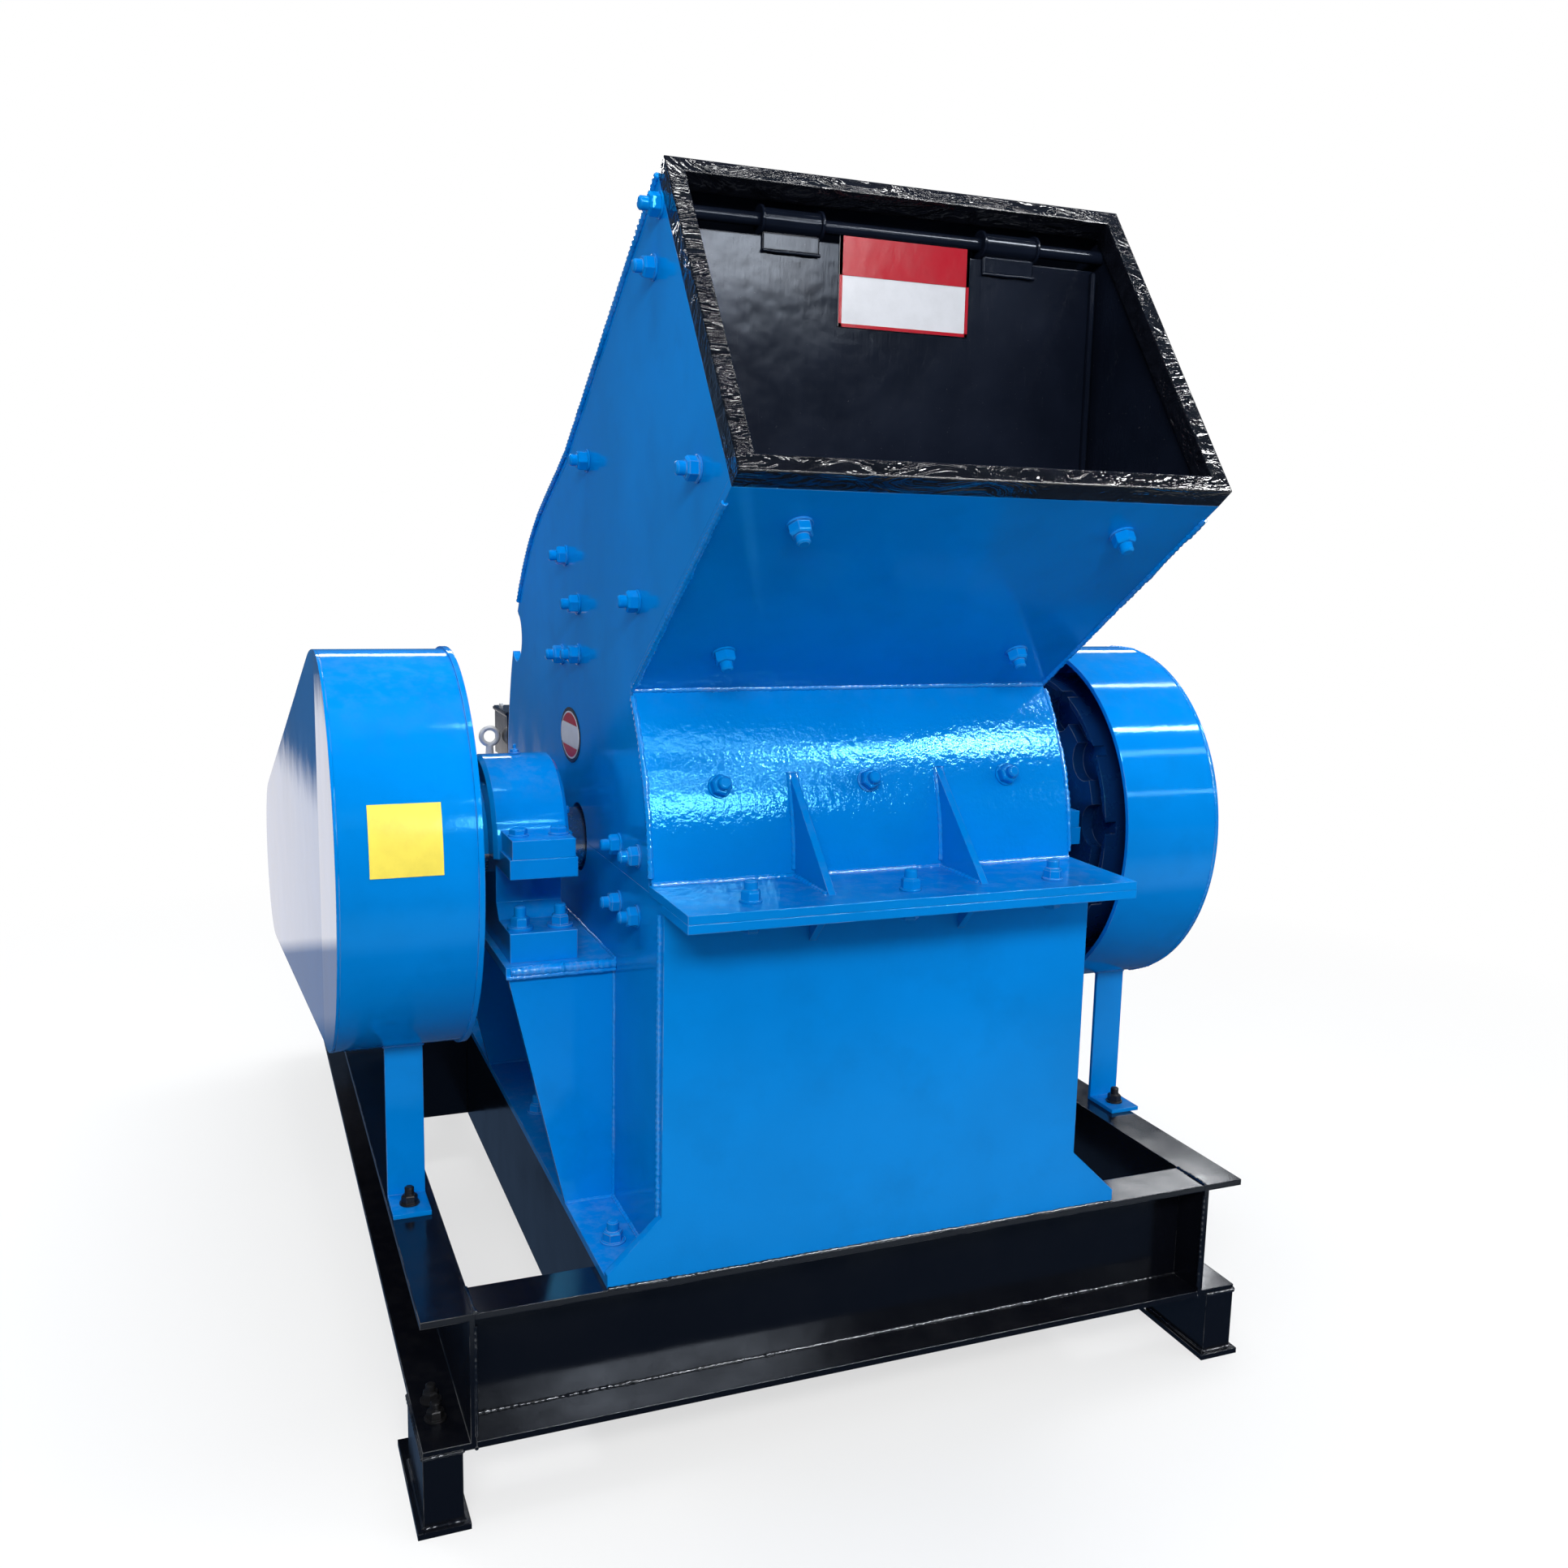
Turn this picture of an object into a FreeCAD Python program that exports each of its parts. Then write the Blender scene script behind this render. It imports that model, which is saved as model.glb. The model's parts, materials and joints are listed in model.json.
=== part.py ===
import FreeCAD, Part
import math
import os
import re
import Sketcher

# Hammer crusher on a channel-steel skid, with its motor behind the casing.
# X runs across the machine (the belt side is -X), Y from the feed side to
# the motor, Z up. The origin is on the floor, in the middle of the four
# corner anchor holes of the skid.

os.makedirs("parts", exist_ok=True)

doc = FreeCAD.newDocument("HammerCrusher")
sheet = doc.addObject("Spreadsheet::Sheet", "dims")

SIZES = [
    # casing: widths and the chain of gaps that sets everything along the shaft
    ("case_width", 752), ("side_plate", 16), ("front_plate", 16),
    ("front_reach", 537), ("rear_reach", 700), ("ear_reach", 86),
    ("ear_top", 104), ("ear_lip", 22), ("base_flange", 14), ("base_reach", 776),
    ("split_flange", 14), ("split_reach", 665), ("split_overhang", 4),
    ("rear_flange_reach", 750), ("rib_plate", 12), ("rib_half", 132),
    ("upper_rib_long", 138), ("upper_rib_tall", 163), ("lower_rib_long", 60),
    ("lower_rib_tall", 62),
    ("arc_radius", 471), ("seam_angle", 40.3), ("cover_plate", 14),
    ("back_radius", 668), ("kink_reach", 85), ("kink_rise", 693), ("door_angle", 33),
    ("cover_end_angle", 35.6), ("door_radius", 652),
    ("notch_radius", 54), ("notch_centre", 648), ("notch_angle", 31),
    ("liner_plate", 12), ("liner_gap", 3), ("liner_rise", 62),
    ("rim_low_reach", 835), ("rim_low_rise", 625), ("rim_top_reach", 506),
    ("rim_top_rise", 1070), ("rim_bar", 26), ("rim_depth", 34),
    # skid of channel steel
    ("axis_height", 950), ("axis_setback", 540), ("skid_length", 2100),
    ("skid_reach", 370), ("inner_reach", 84), ("beam_height", 220),
    ("beam_flange", 81), ("beam_web", 9), ("beam_lip", 11),
    ("foot_height", 125), ("foot_length", 176), ("foot_width", 60),
    ("foot_plate", 10), ("foot_overhang", 10), ("foot_tail", 62),
    ("anchor_hole", 22), ("anchor_set_in", 48), ("foot_middle", 60), ("foot_set_in", 34),
    # feed flap
    ("flap_pin_down", 52), ("flap_pin_back", 47), ("flap_pin_radius", 10),
    ("flap_side_gap", 20), ("flap_low_gap", 38), ("flap_plate", 8),
    ("knuckle_radius", 18), ("knuckle_length", 90), ("knuckle_half", 182),
    ("pin_clearance", 0.3),
    # bearings and their pedestals
    ("bearing_rise", 160), ("seat_plate", 16), ("seat_reach", 186),
    ("pedestal_front", 255), ("pedestal_rear", 472), ("pedestal_plate", 14),
    ("seat_overhang", 10), ("pedestal_set_in", 4),
    ("bearing_gap", 52), ("bearing_length", 132), ("bearing_radius", 158),
    ("bearing_chamfer", 7), ("bearing_foot", 50), ("bearing_foot_reach", 240),
    ("bearing_ear_under", 17), ("bearing_ear_seam", 16), ("bearing_ear_top", 48),
    ("bearing_ear_from", 160), ("bearing_ear_reach", 245), ("ear_gap", 60),
    ("bearing_ear_length", 114), ("ear_set_in", 4), ("bearing_waist", 118),
    ("end_cover_radius", 108), ("end_cover", 10),
    # rotor
    ("shaft_radius", 55), ("shaft_body_radius", 70), ("shaft_shoulder", 26),
    ("shaft_gap", 8), ("bore_clearance", 0.3), ("disc_radius", 300),
    ("disc_width", 24), ("rotor_gap", 61), ("disc_count", 6),
    ("hub_radius", 105), ("pin_circle", 245), ("hammer_pin_radius", 25),
    ("pin_over", 13), ("hammer_tip", 400), ("hammer_gap", 8),
    ("hammer_half", 50), ("hammer_back", 48),
    ("flywheel_gap", 14), ("flywheel_radius", 290), ("flywheel_width", 124),
    ("flywheel_lip", 10), ("flywheel_groove", 32), ("flywheel_sink", 24),
    ("flywheel_bore_radius", 95), ("flywheel_dish", 46), ("bite_radius", 41),
    ("bite_circle", 250), ("bite_count", 12), ("bite_turn", 4),
    ("pulley_radius", 300), ("pulley_gap", 74), ("pulley_width", 160),
    ("pulley_hub_radius", 95), ("pulley_web", 40), ("pulley_rim", 46),
    ("groove_pitch", 34), ("groove_depth", 19), ("groove_half", 11),
    ("groove_foot", 6.5), ("belt_count", 4), ("belt_lift", 2),
    ("shaft_end_gap", 21), ("flywheel_shaft_over", 52),
    # guards
    ("guard_sheet", 5), ("belt_guard_gap", 47), ("belt_guard_depth", 218),
    ("belt_guard_radius", 346), ("belt_guard_flare", 37), ("guard_lip", 9),
    ("belt_guard_end_radius", 194), ("wheel_guard_radius", 345),
    ("wheel_guard_gap", 13), ("wheel_guard_depth", 207), ("leg_width", 64),
    ("leg_plate", 8), ("leg_forward", 114), ("leg_foot", 80),
    ("leg_left_inset", 35), ("leg_right_inset", 14),
    # drive
    ("motor_setback", 1150), ("motor_rise", 353), ("motor_nose_gap", 21),
    ("motor_pulley_radius", 150), ("motor_hub_radius", 62),
    ("motor_shaft_radius", 32), ("motor_shaft", 166), ("motor_nose_radius", 120),
    ("motor_nose", 26), ("motor_radius", 226), ("motor_length", 600),
    ("motor_shield", 22), ("shield_slope", 14), ("shield_drop", 8),
    ("motor_cowl", 180), ("cowl_lift", 20), ("cowl_end", 30), ("motor_foot_rise", 250),
    ("motor_foot_near", 168), ("motor_foot_apart", 349), ("motor_foot_reach", 240),
    ("motor_foot_width", 90), ("motor_foot_plate", 26), ("motor_foot_spread", 150),
    ("fin_count", 40), ("fin_height", 14), ("fin_root", 6), ("fin_width", 7), ("fin_from", 64),
    ("fin_to", 560), ("rail_width", 90), ("rail_end_gap", 20),
    ("box_from", 330), ("box_length", 190), ("box_width", 170), ("box_height", 120),
    # grate
    ("grate_radius", 425), ("grate_bar_depth", 34), ("grate_from_angle", 22),
    ("grate_end", 18), ("grate_bar_thick", 26), ("grate_step_angle", 6),
    ("grate_count", 11),
]

VALUE = {}
for row, (name, number) in enumerate(SIZES, start=1):
    sheet.set("A%d" % row, name)
    sheet.set("B%d" % row, repr(number))
    sheet.setAlias("B%d" % row, name)
    VALUE[name] = float(number)
doc.recompute()


class Size:
    """A length that the sheet drives: its value now and its expression."""

    def __init__(self, value, text):
        self.value = float(value)
        self.text = text

    def _join(self, other, sign, value, flip=False):
        other = size(other)
        a, b = (other, self) if flip else (self, other)
        return Size(value(a.value, b.value), "(%s %s %s)" % (a.text, sign, b.text))

    def __add__(self, o):
        return self._join(o, "+", lambda a, b: a + b)

    def __radd__(self, o):
        return self._join(o, "+", lambda a, b: a + b, True)

    def __sub__(self, o):
        return self._join(o, "-", lambda a, b: a - b)

    def __rsub__(self, o):
        return self._join(o, "-", lambda a, b: a - b, True)

    def __mul__(self, o):
        return self._join(o, "*", lambda a, b: a * b)

    def __rmul__(self, o):
        return self._join(o, "*", lambda a, b: a * b, True)

    def __truediv__(self, o):
        return self._join(o, "/", lambda a, b: a / b)

    def __neg__(self):
        return Size(-self.value, "(0 - %s)" % self.text)


def size(v):
    return v if isinstance(v, Size) else Size(v, "%.9g" % v)


def dim(name):
    return Size(VALUE[name], "dims." + name)


def root(q):
    q = size(q)
    return Size(math.sqrt(q.value), "sqrt(%s)" % q.text)


def sine(q):
    q = size(q)
    return Size(math.sin(math.radians(q.value)), "sin(%s)" % q.text)


def cosine(q):
    q = size(q)
    return Size(math.cos(math.radians(q.value)), "cos(%s)" % q.text)


def bind(thing, prop, q):
    q = size(q)
    if "dims." in q.text:
        thing.setExpression(prop, q.text)
    return q.value


NODES = []


def place(thing, x=0, y=0, z=0):
    thing.Placement = FreeCAD.Placement(
        FreeCAD.Vector(size(x).value, size(y).value, size(z).value), FreeCAD.Rotation())
    bind(thing, "Placement.Base.x", x)
    bind(thing, "Placement.Base.y", y)
    bind(thing, "Placement.Base.z", z)


def body(name, x=0, y=0, z=0, node=True):
    b = doc.addObject("PartDesign::Body", name)
    b.Label = name
    place(b, x, y, z)
    if node:
        NODES.append(b)
    return b


def sketch(b, role, shift=0):
    sk = b.newObject("Sketcher::SketchObject", b.Name + "_sketch")
    support = [f for f in b.Origin.OriginFeatures if f.Role == role][0]
    sk.AttachmentSupport = [(support, "")]
    sk.MapMode = "FlatFace"
    sk.AttachmentOffset = FreeCAD.Placement(
        FreeCAD.Vector(0, 0, size(shift).value), FreeCAD.Rotation())
    bind(sk, "AttachmentOffset.Base.z", shift)
    return sk


def fix(sk, kind, args, q):
    q = size(q)
    k = sk.addConstraint(Sketcher.Constraint(kind, *args, q.value))
    bind(sk, "Constraints[%d]" % k, q)


def pin(sk, geo, pos, x, y, which="xy"):
    x, y = size(x), size(y)
    if "x" in which and x.text == "0":
        sk.addConstraint(Sketcher.Constraint("PointOnObject", geo, pos, -2))
    elif "x" in which:
        fix(sk, "DistanceX", (-1, 1, geo, pos), x)
    if "y" in which and y.text == "0":
        sk.addConstraint(Sketcher.Constraint("PointOnObject", geo, pos, -1))
    elif "y" in which:
        fix(sk, "DistanceY", (-1, 1, geo, pos), y)


def outline(sk, points):
    """A closed profile. A point is (x, y), or (x, y, radius, cx, cy, ccw)
    where an arc about (cx, cy) runs from it to the next point."""
    first = sk.GeometryCount
    ends = []
    n = len(points)
    for i in range(n):
        p, q = points[i], points[(i + 1) % n]
        a = FreeCAD.Vector(size(p[0]).value, size(p[1]).value, 0)
        b = FreeCAD.Vector(size(q[0]).value, size(q[1]).value, 0)
        if len(p) == 2:
            sk.addGeometry(Part.LineSegment(a, b), False)
            ends.append((1, 2))
        else:
            c = FreeCAD.Vector(size(p[3]).value, size(p[4]).value, 0)
            circle = Part.Circle(c, FreeCAD.Vector(0, 0, 1), size(p[2]).value)
            s, e = (a, b) if p[5] else (b, a)
            t0 = math.atan2(s.y - c.y, s.x - c.x)
            t1 = math.atan2(e.y - c.y, e.x - c.x)
            if t1 <= t0:
                t1 += 2 * math.pi
            sk.addGeometry(Part.ArcOfCircle(circle, t0, t1), False)
            ends.append((1, 2) if p[5] else (2, 1))
    for i in range(n):
        j = (i + 1) % n
        sk.addConstraint(Sketcher.Constraint(
            "Coincident", first + i, ends[i][1], first + j, ends[j][0]))
    for i in range(n):
        p, before = points[i], points[i - 1]
        which = "xy"
        if len(before) > 2:
            # the arc before it already holds this end at its radius
            dy = size(p[1]).value - size(before[4]).value
            dx = size(p[0]).value - size(before[3]).value
            which = "x" if abs(dy) > abs(dx) else "y"
        pin(sk, first + i, ends[i][0], p[0], p[1], which)
        if len(p) > 2:
            pin(sk, first + i, 3, p[3], p[4])


def hole(sk, x, y, r):
    g = sk.GeometryCount
    sk.addGeometry(Part.Circle(FreeCAD.Vector(size(x).value, size(y).value, 0),
                               FreeCAD.Vector(0, 0, 1), size(r).value), False)
    pin(sk, g, 3, x, y)
    fix(sk, "Radius", (g,), r)


def box_points(x0, y0, x1, y1):
    return [(x0, y0), (x1, y0), (x1, y1), (x0, y1)]


def pad(b, sk, length, name="Pad"):
    f = b.newObject("PartDesign::Pad", b.Name + "_pad")
    f.Profile = sk
    f.Length = size(length).value
    bind(f, "Length", length)
    return f


def along_x(b, points, x0, x1, holes=()):
    sk = sketch(b, "YZ_Plane", x0)
    outline(sk, points)
    for c in holes:
        hole(sk, *c)
    return pad(b, sk, size(x1) - x0)


def along_y(b, points, y0, y1, holes=()):
    sk = sketch(b, "XZ_Plane", -size(y1))
    outline(sk, points)
    for c in holes:
        hole(sk, *c)
    return pad(b, sk, size(y1) - y0)


def along_z(b, points, z0, z1, holes=()):
    sk = sketch(b, "XY_Plane", z0)
    outline(sk, points)
    for c in holes:
        hole(sk, *c)
    return pad(b, sk, size(z1) - z0)


def turn(b, points, angle=360, start=None):
    """Revolve a profile given as (x along the axis, radius) about local X."""
    sk = sketch(b, "XY_Plane")
    outline(sk, points)
    f = b.newObject("PartDesign::Revolution", b.Name + "_turn")
    f.Profile = sk
    f.ReferenceAxis = (sk, ["H_Axis"])
    f.Angle = size(angle).value
    bind(f, "Angle", angle)
    return f


def disc_turn(b, x0, x1, r):
    return turn(b, [(x0, 0), (x1, 0), (x1, r), (x0, r)])


def block(name, x0, y0, z0, x1, y1, z1):
    b = doc.addObject("Part::Box", name)
    b.Label = name
    for prop, lo, hi in (("Length", x0, x1), ("Width", y0, y1), ("Height", z0, z1)):
        setattr(b, prop, (size(hi) - lo).value)
        bind(b, prop, size(hi) - lo)
    place(b, x0, y0, z0)
    NODES.append(b)
    return b


def group(kind, name, parts, prop):
    """One sub-part made of several shapes."""
    g = doc.addObject(kind, name)
    g.Label = name
    setattr(g, prop, parts)
    NODES.append(g)
    return g


# Places that several pieces share
case_x = dim("case_width") / 2
inner_x = case_x - dim("side_plate")
ear_x = case_x + dim("ear_reach")
in_x = case_x + dim("inner_reach")
side_x = case_x + dim("skid_reach")
seat_x = case_x + dim("seat_reach")
web_x = side_x - dim("beam_flange")
web, lip, flange = dim("beam_web"), dim("beam_lip"), dim("beam_flange")
front_y = -dim("skid_length") / 2
rear_y = dim("skid_length") / 2
axis_y = front_y + dim("axis_setback")
axis_z = dim("axis_height")
frame_low = dim("foot_height")
frame_top = frame_low + dim("beam_height")
base_end = axis_y + dim("base_reach")
seat_z = axis_z - dim("bearing_rise")


def channel(u0, u1, open_to_low):
    """Channel section across (u, z): the web is on the side away from the lips."""
    z0, z1 = frame_low, frame_top
    if open_to_low:
        return [(u0, z0), (u1, z0), (u1, z1), (u0, z1), (u0, z1 - lip),
                (u1 - web, z1 - lip), (u1 - web, z0 + lip), (u0, z0 + lip)]
    return [(u0, z0), (u1, z0), (u1, z0 + lip), (u0 + web, z0 + lip),
            (u0 + web, z1 - lip), (u1, z1 - lip), (u1, z1), (u0, z1)]


def mirrored(x0, x1, right):
    """The same stretch along X on the right or the left side."""
    return (x0, x1) if right else (-x1, -x0)


SIDES = (("left", False), ("right", True))

# Skid
for name, right in SIDES:
    b = body("base_side_beam_" + name)
    x0, x1 = mirrored(web_x, side_x, right)
    along_y(b, channel(x0, x1, not right), front_y, rear_y)
    b = body("base_inner_beam_" + name)
    x0, x1 = mirrored(in_x - flange, in_x, right)
    along_y(b, channel(x0, x1, right), front_y + flange, rear_y - flange)
b = body("base_front_beam")
along_x(b, channel(front_y, front_y + flange, True), -web_x, web_x)
b = body("base_rear_beam")
along_x(b, channel(rear_y - flange, rear_y, False), -web_x, web_x)
cross = []
for name, x0, x1 in (("middle", -in_x + flange, in_x - flange), ("left", -web_x, -in_x),
                     ("right", in_x, web_x)):
    b = body("cross_piece_" + name, node=False)
    along_x(b, channel(base_end, base_end + flange, False), x0, x1)
    cross.append(b)
group("Part::Compound", "base_cross_beam", cross, "Links")

# Feet: a post under the side beam on a floor plate, whose tail takes the anchor;
# the middle and rear posts stand further in than the front ones
span, tail, over = dim("foot_length"), dim("foot_tail"), dim("foot_overhang")
plate = dim("foot_plate")
anchor_x = side_x - dim("anchor_set_in")
anchor_y = front_y + span + tail / 2
mid_y = dim("foot_middle")
feet = []
for side, right in SIDES:
    for name, set_in, y0, y1, ends, hole_y in (
            ("front", 0, front_y, front_y + span, (-over, tail), anchor_y),
            ("middle", dim("foot_set_in"), mid_y - span / 2, mid_y + span / 2,
             (-over, over), None),
            ("rear", dim("foot_set_in"), rear_y - span, rear_y, (-tail, over), -anchor_y)):
        out = side_x - set_in
        lo, hi = mirrored(out - dim("foot_width"), out, right)
        b = body("foot_%s_%s" % (name, side), node=False)
        feet.append(b)
        hole_x = anchor_x if right else -anchor_x
        holes = [(hole_x, hole_y, dim("anchor_hole") / 2)] if hole_y else []
        along_z(b, box_points(lo - over, y0 + ends[0], hi + over, y1 + ends[1]), 0, plate, holes)
        along_z(b, box_points(lo, y0, hi, y1), plate, frame_low)
group("Part::Compound", "base_feet", feet, "Links")

# Lower casing, split from the upper one at the rotor axis
split_z, sf = axis_z, dim("split_flange")
low_front = axis_y - dim("front_reach")
low_front_in = low_front + dim("front_plate")
low_rear = axis_y + dim("rear_reach")
low_rear_in = low_rear - dim("front_plate")
base_z = frame_top + dim("base_flange")
eye = dim("shaft_radius") + dim("shaft_gap")
b = body("lower_front_plate")
ear_z, lip_z = frame_top + dim("ear_top"), frame_top + dim("ear_lip")
along_y(b, [(-ear_x, frame_top), (ear_x, frame_top), (ear_x, lip_z), (case_x, ear_z),
            (case_x, split_z - sf), (-case_x, split_z - sf), (-case_x, ear_z),
            (-ear_x, lip_z)], low_front, low_front_in)
for side, right in SIDES:
    b = body("lower_side_" + side)
    x0, x1 = mirrored(inner_x, case_x, right)
    along_x(b, [(low_front_in, frame_top), (low_rear, frame_top), (low_rear, split_z),
                (axis_y + eye, split_z, eye, axis_y, axis_z, False), (axis_y - eye, split_z),
                (low_front_in, split_z)], x0, x1)
    x0, x1 = mirrored(case_x, ear_x, right)
    along_z(b, box_points(x0, low_front_in, x1, base_end), frame_top, base_z)
b = body("lower_rear_plate")
along_y(b, box_points(-inner_x, frame_top, inner_x, split_z), low_rear_in, low_rear)
rear_flange = axis_y + dim("rear_flange_reach")
along_z(b, box_points(-inner_x, low_rear, inner_x, rear_flange), split_z - sf, split_z)

# Split flanges with their ribs
reach = axis_y - dim("split_reach")
half = case_x + dim("split_overhang")
rib_x, rib_t = dim("rib_half"), dim("rib_plate")
R, cover = dim("arc_radius"), dim("cover_plate")
arc_front = axis_y - root(R * R - sf * sf)
b = body("lower_split_flange")
along_z(b, box_points(-half, reach, half, low_front), split_z - sf, split_z)
z = split_z - sf
for x in (-rib_x, rib_x):
    along_x(b, [(low_front, z), (low_front, z - dim("lower_rib_tall")),
                (low_front - dim("lower_rib_long"), z)], x - rib_t / 2, x + rib_t / 2)
b = body("upper_split_flange")
along_z(b, box_points(-half, reach, half, arc_front), split_z, split_z + sf)
z = split_z + sf
rib_up = sf + dim("upper_rib_tall")
for x in (-rib_x, rib_x):
    along_x(b, [(arc_front, z, R, axis_y, axis_z, False),
                (axis_y - root(R * R - rib_up * rib_up), split_z + rib_up),
                (axis_y - R - dim("upper_rib_long"), z)], x - rib_t / 2, x + rib_t / 2)

# Upper casing. Its cover plates lie on the edges of the side plates.
seam = dim("seam_angle")
Ri = R - cover
lowrim_y, lowrim_z = axis_y - dim("rim_low_reach"), axis_z + dim("rim_low_rise")
toprim_y, toprim_z = axis_y - dim("rim_top_reach"), axis_z + dim("rim_top_rise")
Rb = dim("back_radius")
Rbi = Rb - cover


def at(radius, angle, rear=False):
    """A point at an angle above the horizontal, in front of or behind the axis."""
    y = radius * cosine(angle)
    return (axis_y + y if rear else axis_y - y, axis_z + radius * sine(angle))


def unit(ya, za, yb, zb):
    dy, dz = size(yb) - ya, size(zb) - za
    n = root(dy * dy + dz * dz)
    return dy / n, dz / n


# The rim's face, and the ends of the plates behind it
ry, rz = unit(lowrim_y, lowrim_z, toprim_y, toprim_z)
rim_long = root((toprim_y - lowrim_y) * (toprim_y - lowrim_y)
                + (toprim_z - lowrim_z) * (toprim_z - lowrim_z))
bar, deep = dim("rim_bar"), dim("rim_depth")


def mouth(along, back):
    """A point up along the mouth, and back from the rim's face."""
    return (lowrim_y + ry * along + rz * back, lowrim_z + rz * along - ry * back)


seam_out = at(R, seam)
seam_in = at(Ri, seam)
low_out, low_in = mouth(0, deep), mouth(cover, deep)
top_out, top_in = mouth(rim_long, deep), mouth(rim_long - cover, deep)
uy, uz = unit(seam_out[0], seam_out[1], low_out[0], low_out[1])
foot_in = (seam_out[0] + uz * cover, seam_out[1] - uy * cover)
# The rear chute bends a little where the curved cover's straight start meets it
ky, kz = dim("kink_reach"), dim("kink_rise")
kk = ky * ky + kz * kz
kl = root(kk - Rb * Rb)
ty, tz = (Rb * ky + kl * kz) / kk, (Rb * kz - kl * ky) / kk
kink = (axis_y + ky, axis_z + kz)
vy, vz = unit(top_out[0], top_out[1], kink[0], kink[1])
share = cover / (1 + (ty * -vz + tz * vy))
kink_in = (kink[0] - (ty - vz) * share, kink[1] - (tz + vy) * share)
back_out = (axis_y + Rb * ty, axis_z + Rb * tz)
back_in = (axis_y + Rbi * ty, axis_z + Rbi * tz)
door, door_R = dim("door_angle"), dim("door_radius")
for side, right in SIDES:
    b = body("upper_side_" + side)
    x0, x1 = mirrored(inner_x, case_x, right)
    along_x(b, [(axis_y - Ri, split_z, Ri, axis_y, axis_z, False), seam_in, foot_in, low_in,
                top_in, kink_in, back_in + (Rbi, axis_y, axis_z, False), at(Rbi, door, True),
                at(Rb, door, True) + (Rb, axis_y, axis_z, False), (axis_y + Rb, split_z),
                (axis_y + eye, split_z, eye, axis_y, axis_z, True),
                (axis_y - eye, split_z)], x0, x1)
    sk = sketch(b, "YZ_Plane", x0 - 1)
    hole(sk, *at(dim("notch_centre"), dim("notch_angle"), True), dim("notch_radius"))
    f = b.newObject("PartDesign::Pocket", "notch")
    f.Profile = sk
    f.Length = (size(x1) - x0 + 2).value
    bind(f, "Length", size(x1) - x0 + 2)
    f.Reversed = True
b = body("upper_front_arc")
along_x(b, [(arc_front, split_z + sf, R, axis_y, axis_z, False), seam_out,
            seam_in + (Ri, axis_y, axis_z, True),
            (axis_y - root(Ri * Ri - sf * sf), split_z + sf)], -case_x, case_x)
b = body("hopper_front_plate")
along_x(b, [seam_out, low_out, low_in, foot_in, seam_in], -case_x, case_x)
b = body("hopper_rear_plate")
along_x(b, [top_out, kink, kink_in, top_in], -case_x, case_x)
cover_end = dim("cover_end_angle")
b = body("rear_arc_cover")
along_x(b, [kink, back_out + (Rb, axis_y, axis_z, False), at(Rb, cover_end, True),
            at(Rbi, cover_end, True) + (Rbi, axis_y, axis_z, True), back_in, kink_in],
        -case_x, case_x)
# Rear door: a curved plate between the side plates, with a foot on the split
b = body("rear_door")
Rd, Rdi = door_R, door_R - cover
along_x(b, [at(Rd, cover_end, True) + (Rd, axis_y, axis_z, False), (axis_y + Rd, split_z),
            (axis_y + Rdi, split_z, Rdi, axis_y, axis_z, True), at(Rdi, cover_end, True)],
        -inner_x, inner_x)
along_z(b, box_points(-inner_x, axis_y + Rd - 2, inner_x, rear_flange), split_z, split_z + sf)

# Wear liners inside the side plates
lg = dim("liner_gap")
Rl, Rlb = Ri - lg, door_R - cover - lg
liners = []
for side, right in SIDES:
    b = body("side_liner_" + side, node=False)
    liners.append(b)
    x0, x1 = mirrored(inner_x - dim("liner_plate"), inner_x, right)
    a0, a1 = at(Rl, seam), at(Rlb, dim("liner_rise"), True)
    along_x(b, [(axis_y - Rl, split_z + lg / 3, Rl, axis_y, axis_z, False), a0,
                a1 + (Rlb, axis_y, axis_z, False), (axis_y + Rlb, split_z + lg / 3),
                (axis_y + root(eye * eye - lg * lg / 9), split_z + lg / 3,
                 eye, axis_y, axis_z, True),
                (axis_y - root(eye * eye - lg * lg / 9), split_z + lg / 3)], x0, x1)
group("Part::Compound", "side_liners", liners, "Links")

# Rim of the mouth: a rectangular frame that continues the casing's outline
rim = []
for name, a0, a1, x0, x1 in (("low", 0, bar, -case_x, case_x),
                             ("top", rim_long - bar, rim_long, -case_x, case_x),
                             ("left", bar, rim_long - bar, -case_x, -case_x + bar),
                             ("right", bar, rim_long - bar, case_x - bar, case_x)):
    b = body("rim_bar_" + name, node=False)
    along_x(b, [mouth(a0, 0), mouth(a1, 0), mouth(a1, deep), mouth(a0, deep)], x0, x1)
    rim.append(b)
group("Part::MultiFuse", "hopper_rim", rim, "Shapes")

# Feed flap on its hinge bar, just inside the mouth
pin_y, pin_z = mouth(rim_long - dim("flap_pin_down"), dim("flap_pin_back"))
pr, clear = dim("flap_pin_radius"), dim("pin_clearance")
b = body("flap_hinge_bar", 0, pin_y, pin_z)
disc_turn(b, -inner_x, inner_x, pr)
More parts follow.
